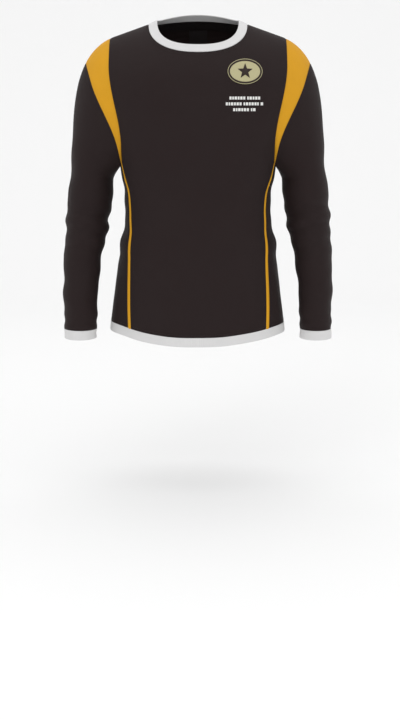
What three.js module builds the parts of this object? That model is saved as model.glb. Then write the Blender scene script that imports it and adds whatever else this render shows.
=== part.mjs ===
// Long-sleeved crew-neck team shirt, worn shape: dark body and sleeves, bright shoulder inserts and
// piping, white rib collar, cuffs and hem. Millimetres, +Z up, front of the shirt towards -Y, the
// wearer's left towards +X. The origin is on the centre line, level with the high shoulder points.
import * as THREE from "three";
import { ParametricGeometry } from "three/addons/geometries/ParametricGeometry.js";
import { mergeGeometries, mergeVertices } from "three/addons/utils/BufferGeometryUtils.js";

// ---- Driving dimensions ------------------------------------------------------------------------
const BODY_LENGTH = 695; // high shoulder point to the hem edge at the side seams
const FRONT_HEM_DIP = 25; // how much lower the hem is at centre front than at the sides
const BACK_HEM_DIP = 46; // the same at centre back
const ARMHOLE_DEPTH = 313; // high shoulder point to the underarm
const CHEST_HALF_WIDTH = 178; // at the underarm
const WAIST_HALF_WIDTH = 165;
const HIP_HALF_WIDTH = 180;
const HEM_HALF_WIDTH = 203;
const CHEST_FRONT_DEPTH = 126; // centre plane to the cloth at centre front
const WAIST_FRONT_DEPTH = 116;
const HEM_FRONT_DEPTH = 130;
const CHEST_BACK_DEPTH = 112;
const WAIST_BACK_DEPTH = 100;
const HEM_BACK_DEPTH = 130;
const NECK_HALF_WIDTH = 110; // at the collar seam
const FRONT_NECK_DROP = 63;
const BACK_NECK_DROP = 10; // below the arch of the shoulder line
const NECK_SIDE_DROP = 9; // the shoulder seam meets the neck this far below the origin
const SHOULDER_HALF_WIDTH = 197; // at the top of the armhole seam
const SHOULDER_SLOPE = 0.35;
const SHOULDER_ROUNDING = 0.0116; // how fast the shoulder line falls away outside the armhole, per mm
const ARMHOLE_BACK_SWEEP = 47; // how far the back armhole seam swings outwards over the shoulder blade
const SLEEVE_LENGTH = 365; // bicep line to the end of the cuff, measured straight down
const BICEP_DROP = 345; // high shoulder point to the bicep line
const BICEP_OFFSET = 64; // bicep centre outside the underarm
const BICEP_HALF_WIDTH = 50;
const BICEP_HALF_DEPTH = 62;
const WRIST_OFFSET = 92; // wrist centre outside the underarm
const WRIST_FORWARD = 58; // wrist centre in front of the bicep centre
const WRIST_HALF_WIDTH = 36;
const WRIST_HALF_DEPTH = 40;
const INSERT_SHARE = 0.25; // how far the insert reaches down the sleeve head at the shoulder point
const BAND_WIDTH = 21; // collar, cuff and hem bands
const PIPING_WIDTH = 8;
const CLOTH = 1; // jersey thickness with its seam allowances
const RIB = 2; // doubled rib band thickness
const SEAM_GAP = 0.5; // clearance between two pieces that are sewn together
const BAND_GAP = 2; // clearance between a rib band and the edge of the cloth that it finishes
const UNDERARM_GAP = 4; // the side panel stops this far below the underarm, clear of the sleeve
const THREAD_RADIUS = 0.6;
const THREAD_LIFT = 1.6; // from the middle of the cloth to the underside of a row of stitches
const NECK_THREAD_LIFT = 2; // more of the same round the neck, where the cloth curves most
const STITCH_INSET = 4; // a row of stitches lies this far from the band that it holds
const PATCH = 1; // thickness of badge and print pieces
const BADGE_HALF_WIDTH = 38;
const BADGE_HALF_HEIGHT = 27;
const BADGE_RING = 4; // width of the badge's rolled border
const STAR_RADIUS = 17;
const PRINT_BAR_HEIGHT = 7;
const PRINT_BAR_PITCH = 12.4;
const PRINT_GAP = 29.5; // from the badge's edge to the middle of the first bar
const PRINT_BAR_WIDTHS = [68, 84, 52];

// ---- Levels ------------------------------------------------------------------------------------
const ARMPIT_Z = -ARMHOLE_DEPTH;
const HEM_Z = -BODY_LENGTH;
const atBody = (share) => ARMPIT_Z + (HEM_Z - ARMPIT_Z) * share; // underarm 0, side hem 1
const SIDE_TOP_Z = ARMPIT_Z - UNDERARM_GAP;
const WAIST_Z = atBody(0.23);
const HIP_Z = atBody(0.52);
const BICEP_Z = -BICEP_DROP;
const CUFF_Z = BICEP_Z - SLEEVE_LENGTH;

// ---- Small maths -------------------------------------------------------------------------------
const { clamp, lerp, smoothstep, degToRad } = THREE.MathUtils;

// A smooth curve through [level, value] stations, levels falling, as a function of the level.
function profile(stations) {
  const values = stations.map(([, value]) => value);
  const last = values.length - 1;
  return (level) => {
    let i = 0;
    while (i < last - 1 && level < stations[i + 1][0]) i++;
    const t = clamp((level - stations[i][0]) / (stations[i + 1][0] - stations[i][0]), 0, 1);
    const before = values[Math.max(i - 1, 0)];
    const after = values[Math.min(i + 2, last)];
    const slope0 = (values[i + 1] - before) / 2;
    const slope1 = (after - values[i]) / 2;
    const t2 = t * t;
    const t3 = t2 * t;
    return (
      (2 * t3 - 3 * t2 + 1) * values[i] +
      (t3 - 2 * t2 + t) * slope0 +
      (3 * t2 - 2 * t3) * values[i + 1] +
      (t3 - t2) * slope1
    );
  };
}

// Repeats value = next(value) until it has settled.
function settle(start, next) {
  let value = start;
  for (let i = 0; i < 12; i++) value = next(value);
  return value;
}

// ---- Body surface ------------------------------------------------------------------------------
const SECTION_POWER = 2.4; // superellipse exponent of the body's cross-section
const SHOULDER_SPREAD = 97; // how much wider than the chest the section becomes at shoulder level
const FRONT_SHOULDER_ROUND = 150; // height over which the front curves up into the shoulder line
const BACK_SHOULDER_ROUND = 60;

// Height of the shoulder line: a low arch over the neck, then a straight slope, then the rounding.
const shoulderZ = (x) =>
  (x < NECK_HALF_WIDTH
    ? (SHOULDER_SLOPE * (NECK_HALF_WIDTH ** 2 - x ** 2)) / (2 * NECK_HALF_WIDTH)
    : -SHOULDER_SLOPE * (x - NECK_HALF_WIDTH) -
      SHOULDER_ROUNDING * Math.max(0, x - SHOULDER_HALF_WIDTH + 8) ** 2) - NECK_SIDE_DROP;
const RIDGE_Z = shoulderZ(SHOULDER_HALF_WIDTH);
const armholeShare = (z) => clamp((z - ARMPIT_Z) / (RIDGE_Z - ARMPIT_Z), 0, 1); // underarm 0, top 1

const lowerHalfWidth = profile([
  [ARMPIT_Z, CHEST_HALF_WIDTH],
  [WAIST_Z, WAIST_HALF_WIDTH],
  [HIP_Z, HIP_HALF_WIDTH],
  [HEM_Z, HEM_HALF_WIDTH],
  [HEM_Z - BACK_HEM_DIP, HEM_HALF_WIDTH + 3],
]);
const halfWidth = (z) =>
  z < ARMPIT_Z
    ? lowerHalfWidth(z)
    : CHEST_HALF_WIDTH + SHOULDER_SPREAD * Math.sin((Math.PI / 2) * armholeShare(z)) ** 1.3;
const frontDepth = profile([
  [0, 0.62 * CHEST_FRONT_DEPTH],
  [0.2 * ARMPIT_Z, 0.78 * CHEST_FRONT_DEPTH],
  [0.42 * ARMPIT_Z, 0.93 * CHEST_FRONT_DEPTH],
  [0.64 * ARMPIT_Z, CHEST_FRONT_DEPTH],
  [ARMPIT_Z, 0.985 * CHEST_FRONT_DEPTH],
  [WAIST_Z, WAIST_FRONT_DEPTH],
  [HIP_Z, 0.5 * (WAIST_FRONT_DEPTH + HEM_FRONT_DEPTH)],
  [HEM_Z - FRONT_HEM_DIP, HEM_FRONT_DEPTH],
]);
const backDepth = profile([
  [0, 0.85 * CHEST_BACK_DEPTH],
  [0.2 * ARMPIT_Z, 0.92 * CHEST_BACK_DEPTH],
  [0.5 * ARMPIT_Z, CHEST_BACK_DEPTH],
  [ARMPIT_Z, 0.96 * CHEST_BACK_DEPTH],
  [WAIST_Z, WAIST_BACK_DEPTH],
  [HIP_Z, 0.55 * WAIST_BACK_DEPTH + 0.45 * HEM_BACK_DEPTH],
  [HEM_Z - BACK_HEM_DIP, HEM_BACK_DEPTH],
]);

// Depth of the cloth in front of (side -1) or behind (side +1) the centre plane.
function bodyY(x, z, side) {
  const fall = Math.max(0, shoulderZ(Math.abs(x)) - z);
  const round = side < 0 ? FRONT_SHOULDER_ROUND : BACK_SHOULDER_ROUND;
  const cap = Math.sqrt(1 - (1 - Math.min(fall / round, 1)) ** 2);
  const across = Math.min(Math.abs(x) / halfWidth(z), 1);
  const depth = side < 0 ? frontDepth(z) : backDepth(z);
  return side * depth * cap * (1 - across ** SECTION_POWER) ** (1 / SECTION_POWER);
}

// The body's section by angle: 0 at centre front, 90 at the wearer's left, 180 at centre back.
function bodyAt(angle, z) {
  const s = Math.sin(angle);
  const x = halfWidth(z) * Math.sign(s) * Math.abs(s) ** (2 / SECTION_POWER);
  return new THREE.Vector3(x, bodyY(x, z, Math.cos(angle) > 0 ? -1 : 1), z);
}

// The angle that is a distance in mm further round the section.
function further(angle, z, distance) {
  const step = 0.002;
  return angle + (distance * step) / bodyAt(angle, z).distanceTo(bodyAt(angle + step, z));
}

// Seams between the front or back panel and the side panel, as angles from centre front.
const frontSeamAngle = profile([
  [ARMPIT_Z, degToRad(73)],
  [atBody(0.12), degToRad(67.5)],
  [atBody(0.3), degToRad(63)],
  [atBody(0.5), degToRad(57)],
  [atBody(0.76), degToRad(52)],
  [HEM_Z - FRONT_HEM_DIP, degToRad(46.5)],
]);
const backSeamAngle = profile([
  [ARMPIT_Z, degToRad(108)],
  [atBody(0.12), degToRad(101)],
  [atBody(0.28), degToRad(100)],
  [atBody(0.45), degToRad(109)],
  [atBody(0.76), degToRad(120)],
  [HEM_Z - BACK_HEM_DIP, degToRad(125)],
]);

// Armhole seam: distance from the centre line at each level above the underarm.
const underarmX = (seamAngle) => bodyAt(seamAngle(ARMPIT_Z), ARMPIT_Z).x;
const frontArmholeX = (z) =>
  lerp(underarmX(frontSeamAngle), SHOULDER_HALF_WIDTH, smoothstep(armholeShare(z), 0.15, 0.8));
const backArmholeX = (z) =>
  lerp(underarmX(backSeamAngle), SHOULDER_HALF_WIDTH, armholeShare(z)) +
  ARMHOLE_BACK_SWEEP * Math.sin(Math.PI * armholeShare(z) ** 2.2);

const PIPING_LIFT = 0.6; // how far the piping stands proud of the cloth

// Half the piping's width: it narrows to a third towards the underarm.
const pipingHalf = (z) =>
  (PIPING_WIDTH / 2) * lerp(1 / 3, 1, smoothstep(ARMPIT_Z - z, 0, 0.15 * ARMHOLE_DEPTH));

// Half width of the front or back panel at a level, up to its side seam and armhole.
function panelEdge(z, side) {
  const seamAngle = side < 0 ? frontSeamAngle : backSeamAngle;
  const clear = pipingHalf(z) + SEAM_GAP;
  if (z < ARMPIT_Z) return bodyAt(further(seamAngle(z), z, side * clear), z).x;
  const level = Math.min(z, RIDGE_Z);
  return (side < 0 ? frontArmholeX(level) : backArmholeX(level)) - SEAM_GAP;
}

// Hem edge and neck seam levels at a distance from the centre line.
const hemLevel = (x, side) =>
  HEM_Z - (side < 0 ? FRONT_HEM_DIP : BACK_HEM_DIP) * (1 - (x / HEM_HALF_WIDTH) ** 2);
const neckLevel = (x, side) => {
  const share = Math.min(Math.abs(x) / NECK_HALF_WIDTH, 1);
  if (side > 0) return shoulderZ(Math.abs(x)) - BACK_NECK_DROP * (1 - share ** 2);
  return -NECK_SIDE_DROP - FRONT_NECK_DROP * (1 - share ** 2.3) ** (1 / 2.3);
};

// ---- Sleeve surface (wearer's left) --------------------------------------------------------------
const ROUND_BOTTOM = 1 / 16; // share of the armhole loop, each way, that runs across the side panel
const SLEEVE_AXIS_LEAN = 0.14;
const bicepCentre = new THREE.Vector3(CHEST_HALF_WIDTH + BICEP_OFFSET, 2, BICEP_Z);
const bicepAxis = new THREE.Vector3(SLEEVE_AXIS_LEAN, 0, -1).normalize();

// The armhole loop: 0 underarm, 0.25 front, 0.5 shoulder point, 0.75 back.
function armhole(turn) {
  const t = turn - Math.floor(turn);
  const side = t < 0.5 ? -1 : 1;
  const fromBottom = Math.min(t, 1 - t);
  if (fromBottom < ROUND_BOTTOM) {
    const middle = 0.5 * (frontSeamAngle(ARMPIT_Z) + backSeamAngle(ARMPIT_Z));
    const corner = side < 0 ? frontSeamAngle(ARMPIT_Z) : backSeamAngle(ARMPIT_Z);
    return bodyAt(lerp(middle, corner, fromBottom / ROUND_BOTTOM), ARMPIT_Z);
  }
  const rise = (1 - Math.cos((Math.PI * (fromBottom - ROUND_BOTTOM)) / (0.5 - ROUND_BOTTOM))) / 2;
  const z = lerp(ARMPIT_Z, RIDGE_Z, rise);
  const x = side < 0 ? frontArmholeX(z) : backArmholeX(z);
  return new THREE.Vector3(x, bodyY(x, z, side), z);
}

// A ring round the arm: 0 inside, 0.25 front, 0.5 outside, 0.75 back.
function ring(turn, centre, axis, halfW, halfD) {
  const angle = 2 * Math.PI * turn;
  const across = new THREE.Vector3(-axis.z, 0, axis.x).normalize();
  return centre
    .clone()
    .addScaledVector(across, -Math.cos(angle) * halfW)
    .add(new THREE.Vector3(0, -Math.sin(angle) * halfD, 0));
}

// Sleeve head: a smooth strip from the armhole loop (share 0) to the bicep ring (share 1).
function sleeveHead(turn, share) {
  const start = armhole(turn);
  const end = ring(turn, bicepCentre, bicepAxis, BICEP_HALF_WIDTH, BICEP_HALF_DEPTH);
  const reach = start.distanceTo(end);
  const fullness = Math.sin(Math.PI * turn) ** 2;
  const outwards = new THREE.Vector3(1, (-0.45 * start.y) / CHEST_FRONT_DEPTH, 0.5).normalize();
  const leave = end.clone().sub(start).normalize().addScaledVector(outwards, 0.95 * fullness);
  leave.normalize().multiplyScalar(reach * 1.05);
  const arrive = bicepAxis.clone().multiplyScalar(reach * lerp(0.6, 0.9, fullness));
  const t2 = share * share;
  const t3 = t2 * share;
  return new THREE.Vector3()
    .addScaledVector(start, 2 * t3 - 3 * t2 + 1)
    .addScaledVector(leave, t3 - 2 * t2 + share)
    .addScaledVector(end, 3 * t2 - 2 * t3)
    .addScaledVector(arrive, t3 - t2);
}

// Where the insert ends on the sleeve head, as a share of the strip: nothing at the underarm.
const insertEnd = (turn) => INSERT_SHARE * Math.abs(Math.sin(Math.PI * turn)) ** 1.15;

const sleeveLevels = [0, 0.11, 0.28, 0.56, 0.94, 1].map((share) => lerp(BICEP_Z, CUFF_Z, share));
const along = (values) => profile(sleeveLevels.map((level, i) => [level, values[i]]));
const drift = (share) => CHEST_HALF_WIDTH + lerp(BICEP_OFFSET, WRIST_OFFSET, share);
const armX = along([0, 0.17, 0.42, 0.9, 1, 1].map(drift));
const armY = along([0, -0.01, -0.06, -0.45, -0.95, -1.03].map((share) => 2 + WRIST_FORWARD * share));
const taper = (share) => lerp(BICEP_HALF_WIDTH, WRIST_HALF_WIDTH, share);
const armHalfW = along([0, -0.08, 0.14, 0.68, 0.98, 1].map(taper));
const taperDepth = (share) => lerp(BICEP_HALF_DEPTH, WRIST_HALF_DEPTH, share);
const armHalfD = along([0, 0.06, 0.22, 0.66, 0.97, 1].map(taperDepth));

// Sleeve tube below the bicep line, by turn and level.
function sleeveTube(turn, z) {
  const centre = new THREE.Vector3(armX(z), armY(z), z);
  const level = clamp((BICEP_Z - z) / (BICEP_Z - WAIST_Z), 0, 1);
  const axis = bicepAxis.clone().lerp(new THREE.Vector3(0, 0, -1), level);
  return ring(turn, centre, axis, armHalfW(z), armHalfD(z));
}

// ---- Solids from surfaces ----------------------------------------------------------------------
// A sheet of even thickness on a surface at(u, v); the surface's u x v direction faces out of the
// shirt. The thickness lies between the offsets low and high along that direction.
function sheet(at, slices, stacks, { low = -CLOTH / 2, high = CLOTH / 2, closed = false } = {}) {
  const step = 1e-3;
  const normalAt = (u, v) => {
    const across = at(closed ? u + step : Math.min(u + step, 1), v);
    across.sub(at(closed ? u - step : Math.max(u - step, 0), v));
    const up = at(u, Math.min(v + step, 1)).sub(at(u, Math.max(v - step, 0)));
    return across.cross(up).normalize();
  };
  const slab = (u, v, w) => {
    const turn = closed && u >= 1 ? 0 : u;
    return at(turn, v).addScaledVector(normalAt(turn, v), lerp(low, high, w));
  };
  const face = (place, across, up) =>
    new ParametricGeometry((s, t, target) => target.copy(place(s, t)), across, up);
  const faces = [
    face((s, t) => slab(s, t, 1), slices, stacks),
    face((s, t) => slab(t, s, 0), stacks, slices),
    face((s, t) => slab(t, 1, s), 1, slices),
    face((s, t) => slab(s, 0, t), slices, 1),
  ];
  if (!closed) {
    faces.push(face((s, t) => slab(1, s, t), stacks, 1));
    faces.push(face((s, t) => slab(0, t, s), 1, stacks));
  }
  return joined(faces);
}

// A thread along a closed loop at(u), lifted off the cloth by its radius and clearance.
function thread(at, outwards, slices, base = 0) {
  const sides = 4;
  const step = 1e-3;
  const place = (u, v) => {
    const turn = u >= 1 ? 0 : u;
    const angle = v >= 1 ? 0 : 2 * Math.PI * v;
    const out = outwards(turn);
    const run = at(turn + step).sub(at(turn - step)).normalize();
    const side = run.clone().cross(out).normalize();
    return at(turn)
      .addScaledVector(out, base + THREAD_LIFT + THREAD_RADIUS * (1 + Math.cos(angle)))
      .addScaledVector(side, -THREAD_RADIUS * Math.sin(angle));
  };
  return joined([
    new ParametricGeometry((u, v, target) => target.copy(place(u, v)), slices, sides),
  ]);
}

// Joins faces that share their edges into one closed surface.
function joined(faces) {
  const merged = mergeGeometries(faces);
  merged.deleteAttribute("normal");
  merged.deleteAttribute("uv");
  const welded = mergeVertices(merged, 1e-3);
  welded.computeVertexNormals();
  return welded;
}

// ---- Body pieces -------------------------------------------------------------------------------
const LOWER_ROWS = 10; // rows of facets between the hem band and the underarm
const HEAD_FACETS = 32; // facets round the sleeve head
const UPPER_ROWS = HEAD_FACETS * (0.5 - ROUND_BOTTOM); // panel rows that meet the insert's facets
const PANEL_ROWS = LOWER_ROWS + 1 + UPPER_ROWS; // one short row spans the underarm gap
const PANEL_COLUMNS = 20;
const NECK_COLUMN_SHARE = 0.6; // share of the panel's columns that end at the neck seam

// Bottom edge of the cloth at an angle or a panel column, settled on the hem's curve.
const clothBottom = (xAt, sideAt) =>
  settle(HEM_Z, (z) => hemLevel(xAt(z), sideAt(z)) + BAND_WIDTH + BAND_GAP);

// Front (side -1) or back (side +1) panel: columns across, rows from the hem up.
function bodyPanel(side) {
  return (u, v) => {
    const across = 2 * u - 1;
    const neckPart = Math.min(Math.abs(across) / NECK_COLUMN_SHARE, 1);
    const outerPart = Math.max(0, Math.abs(across) - NECK_COLUMN_SHARE) / (1 - NECK_COLUMN_SHARE);
    const topEdge = panelEdge(RIDGE_Z, side);
    const topX = lerp(NECK_HALF_WIDTH * Math.sin((Math.PI / 2) * neckPart), topEdge, outerPart);
    const share = topX / topEdge;
    const bottom = clothBottom(
      (z) => share * panelEdge(z, side),
      () => side,
    );
    const top = topX < NECK_HALF_WIDTH ? neckLevel(topX, side) : shoulderZ(topX);
    const row = v * PANEL_ROWS;
    const rise = (1 - Math.cos((Math.PI * Math.max(0, row - LOWER_ROWS - 1)) / UPPER_ROWS)) / 2;
    const lower = lerp(bottom, SIDE_TOP_Z, Math.min(row / LOWER_ROWS, 1));
    const z = lower + UNDERARM_GAP * clamp(row - LOWER_ROWS, 0, 1) + (top - ARMPIT_Z) * rise;
    const x = -side * Math.sign(across) * share * panelEdge(z, side);
    return new THREE.Vector3(x, bodyY(x, z, side) + (side * SEAM_GAP) / 2, z);
  };
}

// Side panel on the wearer's left, between its two pipings.
function sidePanel(u, v) {
  const angleAt = (z) => {
    const clear = pipingHalf(z) + SEAM_GAP;
    const front = further(frontSeamAngle(z), z, clear);
    return lerp(front, further(backSeamAngle(z), z, -clear), u);
  };
  const bottom = clothBottom(
    (z) => bodyAt(angleAt(z), z).x,
    (z) => (Math.cos(angleAt(z)) > 0 ? -1 : 1),
  );
  const z = lerp(bottom, SIDE_TOP_Z, v);
  return bodyAt(angleAt(z), z);
}

// Piping over the seam between the side panel and the front or back panel.
const piping = (seamAngle, side) => (u, v) => {
  const angleAt = (z) => further(seamAngle(z), z, lerp(-pipingHalf(z), pipingHalf(z), u));
  const bottom = clothBottom(
    (z) => bodyAt(angleAt(z), z).x,
    () => side,
  );
  const z = lerp(bottom, SIDE_TOP_Z, v);
  return bodyAt(angleAt(z), z);
};

const sideOf = (angle) => (Math.cos(angle) > 0 ? -1 : 1);

// Hem band: u round the body, v up from the hem edge.
function hemBand(u, v) {
  const angle = 2 * Math.PI * u;
  const edge = settle(HEM_Z, (z) => hemLevel(bodyAt(angle, z).x, sideOf(angle)));
  return bodyAt(angle, edge + BAND_WIDTH * v);
}

// Neck seam by angle from centre front.
function neckSeam(angle, drop = 0) {
  const x = NECK_HALF_WIDTH * Math.sin(angle);
  const z = neckLevel(x, sideOf(angle)) - drop;
  return new THREE.Vector3(x, bodyY(x, z, sideOf(angle)), z);
}

// The collar rises steeply at centre front and back and lies flatter on the shoulders.
const COLLAR_RISE = { front: degToRad(52), side: degToRad(25), back: degToRad(40) };
function collarWay(angle) {
  const c = Math.cos(angle);
  const rise = lerp(COLLAR_RISE.side, c > 0 ? COLLAR_RISE.front : COLLAR_RISE.back, c ** 2);
  const inwards = new THREE.Vector3(-Math.sin(angle), c, 0).multiplyScalar(Math.cos(rise));
  return inwards.setZ(Math.sin(rise));
}
const collarBand = (u, v) => {
  const angle = 2 * Math.PI * u;
  return neckSeam(angle).addScaledVector(collarWay(angle), RIB / 2 + BAND_GAP + BAND_WIDTH * v);
};

// Tape over the seam inside the back neck, from shoulder to shoulder.
const TAPE_ARC = [degToRad(100), degToRad(260)];
const TAPE_DROP = [15, 5]; // lower and upper edge below the neck seam
const TAPE = 0.8; // tape and label thickness
const TAPE_DEPTH = 1.2; // from the seam gap inside the cloth to the tape or label
const backNeckTape = (u, v) => neckSeam(lerp(...TAPE_ARC, u), lerp(...TAPE_DROP, v));

// A rectangle on the body, given by its middle, its size and which side of the body it is on.
const bodyPatch = (x0, z0, width, height, side) => (u, v) => {
  const x = x0 - side * width * (u - 0.5);
  const z = z0 + height * (v - 0.5);
  return new THREE.Vector3(x, bodyY(x, z, side), z);
};
const LABEL = { width: 42, height: 28, drop: 33 };
const neckLabel = bodyPatch(0, neckLevel(0, 1) - LABEL.drop, LABEL.width, LABEL.height, 1);
const CARE_LABEL = { width: 24, height: 44, level: 0.7 };
function careLabel(u, v) {
  const z = atBody(CARE_LABEL.level) + CARE_LABEL.height * (v - 0.5);
  return bodyAt(further(Math.PI / 2, z, CARE_LABEL.width * (u - 0.5)), z);
}

// ---- Chest badge and print ---------------------------------------------------------------------
const BADGE_X = 0.52 * SHOULDER_HALF_WIDTH;
const BADGE_Z = 0.364 * ARMPIT_Z;
const PRINT_TOP_Z = BADGE_Z - BADGE_HALF_HEIGHT - PRINT_GAP;

// Moves a flat geometry, drawn in X and Y with its thickness along Z, onto the chest.
function onChest(geometry, x0, z0, lift) {
  const place = geometry.getAttribute("position");
  const step = 0.1;
  for (let i = 0; i < place.count; i++) {
    const x = x0 + place.getX(i);
    const z = z0 + place.getY(i);
    const slopeX = (bodyY(x + step, z, -1) - bodyY(x - step, z, -1)) / (2 * step);
    const slopeZ = (bodyY(x, z + step, -1) - bodyY(x, z - step, -1)) / (2 * step);
    const out = new THREE.Vector3(slopeX, -1, slopeZ).normalize();
    const point = new THREE.Vector3(x, bodyY(x, z, -1), z);
    point.addScaledVector(out, lift + place.getZ(i));
    place.setXYZ(i, point.x, point.y, point.z);
  }
  return joined([geometry]);
}

const BADGE_SIDES = 32;

// A round of unit radius and a given profile, stretched to the badge's oval.
function oval(profilePoints, halfW, halfH) {
  const turned = new THREE.LatheGeometry(
    profilePoints.map(([x, y]) => new THREE.Vector2(x, y)),
    BADGE_SIDES,
  );
  turned.rotateX(Math.PI / 2);
  turned.scale(halfW, halfH, 1);
  return turned;
}
const CLOTH_LIFT = CLOTH / 2 + SEAM_GAP; // from the middle of the cloth to the back of what lies on it
const RING_INNER = 1 - BADGE_RING / BADGE_HALF_WIDTH;

function badgeGround() {
  const edge = RING_INNER - SEAM_GAP / BADGE_HALF_HEIGHT;
  const radii = [0, 0.35, 0.7, 1].map((share) => share * edge);
  const under = radii.map((r) => [r, 0]);
  const over = radii.map((r) => [r, PATCH]).reverse();
  return onChest(oval([...under, ...over], BADGE_HALF_WIDTH, BADGE_HALF_HEIGHT), BADGE_X, BADGE_Z, CLOTH_LIFT);
}

function badgeBorder() {
  const height = 1.6 * PATCH;
  const section = [
    [RING_INNER, 0],
    [1, 0],
    [1, height],
    [RING_INNER, height],
    [RING_INNER, 0],
  ];
  return onChest(oval(section, BADGE_HALF_WIDTH, BADGE_HALF_HEIGHT), BADGE_X, BADGE_Z, CLOTH_LIFT);
}

// A plain five-pointed star standing on the badge's ground.
function badgeStar() {
  const points = 5;
  const star = new THREE.Shape();
  for (let i = 0; i < 2 * points; i++) {
    const radius = i % 2 ? 0.42 * STAR_RADIUS : STAR_RADIUS;
    const angle = (Math.PI * i) / points;
    const [x, y] = [radius * Math.sin(angle), radius * Math.cos(angle)];
    if (i === 0) star.moveTo(x, y);
    else star.lineTo(x, y);
  }
  star.closePath();
  const solid = new THREE.ExtrudeGeometry(star, { depth: PATCH, bevelEnabled: false });
  return onChest(solid, BADGE_X, BADGE_Z, CLOTH_LIFT + 2 * PATCH);
}

function printBar(row) {
  const bar = new THREE.BoxGeometry(PRINT_BAR_WIDTHS[row], PRINT_BAR_HEIGHT, PATCH, 10, 1, 1);
  bar.translate(0, 0, PATCH / 2);
  return onChest(bar, BADGE_X, PRINT_TOP_Z - row * PRINT_BAR_PITCH, CLOTH_LIFT);
}

// ---- Sleeve pieces (wearer's left) ---------------------------------------------------------------
const ELBOW_Z = lerp(BICEP_Z, CUFF_Z, 0.27);
const ELBOW_HALF = 38; // half the length of sleeve that bends
const headGap = (turn) => {
  const end = ring(turn, bicepCentre, bicepAxis, BICEP_HALF_WIDTH, BICEP_HALF_DEPTH);
  return SEAM_GAP / armhole(turn).distanceTo(end);
};
const shoulderInsert = (u, v) => {
  const turn = lerp(ROUND_BOTTOM, 1 - ROUND_BOTTOM, u);
  return sleeveHead(turn, lerp(insertEnd(turn) - headGap(turn) / 2, headGap(turn), v));
};
const sleeveCap = (turn, v) =>
  sleeveHead(turn, lerp(1 - headGap(turn), insertEnd(turn) + headGap(turn), v));
const tubeBetween = (low, high) => (turn, v) => sleeveTube(turn, lerp(low, high, v));
const upperTube = tubeBetween(ELBOW_Z + ELBOW_HALF, BICEP_Z - SEAM_GAP);
const elbowTube = tubeBetween(ELBOW_Z - ELBOW_HALF + SEAM_GAP, ELBOW_Z + ELBOW_HALF - SEAM_GAP);
const forearmTube = tubeBetween(CUFF_Z + BAND_WIDTH + SEAM_GAP, ELBOW_Z - ELBOW_HALF);
const cuffBand = tubeBetween(CUFF_Z, CUFF_Z + BAND_WIDTH - BAND_GAP + SEAM_GAP);

// ---- Rows of stitches --------------------------------------------------------------------------
function hemStitches(u) {
  const angle = 2 * Math.PI * u;
  const edge = settle(HEM_Z, (z) => hemLevel(bodyAt(angle, z).x, sideOf(angle)));
  return bodyAt(angle, edge + BAND_WIDTH + STITCH_INSET);
}
const cuffStitches = (u) => sleeveTube(u, CUFF_Z + BAND_WIDTH + STITCH_INSET);
function neckStitches(u) {
  const angle = 2 * Math.PI * u;
  const [s, c] = [Math.sin(angle), Math.cos(angle)];
  const x = (NECK_HALF_WIDTH + STITCH_INSET) * s;
  const fall = STITCH_INSET * (Math.abs(c) + SHOULDER_SLOPE * Math.abs(s));
  const z = neckLevel(NECK_HALF_WIDTH * s, sideOf(angle)) - fall;
  return new THREE.Vector3(x, bodyY(x, z, sideOf(angle)), z);
}
const fromMiddle = (middle) => (point) => point.clone().sub(middle).setZ(0).normalize();
const awayFromBody = (u) => fromMiddle(new THREE.Vector3())(hemStitches(u));
const awayFromArm = (u) => {
  const z = CUFF_Z + BAND_WIDTH + STITCH_INSET;
  return fromMiddle(new THREE.Vector3(armX(z), armY(z), 0))(cuffStitches(u));
};
function awayFromNeck(u) {
  const step = 1e-3;
  const round = neckStitches(u + step).sub(neckStitches(u - step));
  return round.cross(neckSeam(2 * Math.PI * u).sub(neckStitches(u))).normalize();
}

// ---- Assembly ----------------------------------------------------------------------------------
const finish = (color, roughness) => new THREE.MeshStandardMaterial({ color, roughness, metalness: 0 });
const FINISHES = {
  body: finish(0x150a0a, 0.85),
  accent: finish(0xffaf0f, 0.8),
  white: finish(0xf2f2f0, 0.85),
  badge: finish(0xc1ba8f, 0.7),
  dark: finish(0x1a1210, 0.7),
};
const FOLD_FACETS = 24; // facets round a sleeve

const shirt = new THREE.Group();
function add(name, geometry, material, mirrored = false) {
  const mesh = new THREE.Mesh(geometry, material);
  mesh.name = name;
  mesh.scale.x = mirrored ? -1 : 1;
  shirt.add(mesh);
}
function addPair(name, geometry, material) {
  add("left_" + name, geometry, material);
  add("right_" + name, geometry, material, true);
}

const ribbed = { low: -RIB / 2, high: RIB / 2, closed: true };
const round = { closed: true };
const proud = { low: -CLOTH / 2, high: CLOTH / 2 + PIPING_LIFT };
const inside = (depth) => ({ low: -CLOTH / 2 - SEAM_GAP - depth - TAPE, high: -CLOTH / 2 - SEAM_GAP - depth });

add("front_body_panel", sheet(bodyPanel(-1), PANEL_COLUMNS, PANEL_ROWS), FINISHES.body);
add("back_body_panel", sheet(bodyPanel(1), PANEL_COLUMNS, PANEL_ROWS), FINISHES.body);
addPair("side_panel", sheet(sidePanel, 8, LOWER_ROWS), FINISHES.body);
addPair("front_piping", sheet(piping(frontSeamAngle, -1), 2, LOWER_ROWS, proud), FINISHES.accent);
addPair("back_piping", sheet(piping(backSeamAngle, 1), 2, LOWER_ROWS, proud), FINISHES.accent);
addPair("shoulder_insert", sheet(shoulderInsert, 2 * UPPER_ROWS, 3), FINISHES.accent);
addPair("sleeve_head", sheet(sleeveCap, HEAD_FACETS, 5, round), FINISHES.body);
addPair("upper_sleeve", sheet(upperTube, FOLD_FACETS, 2, round), FINISHES.body);
addPair("elbow_sleeve", sheet(elbowTube, FOLD_FACETS, 3, round), FINISHES.body);
addPair("forearm_sleeve", sheet(forearmTube, FOLD_FACETS, 5, round), FINISHES.body);
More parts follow.
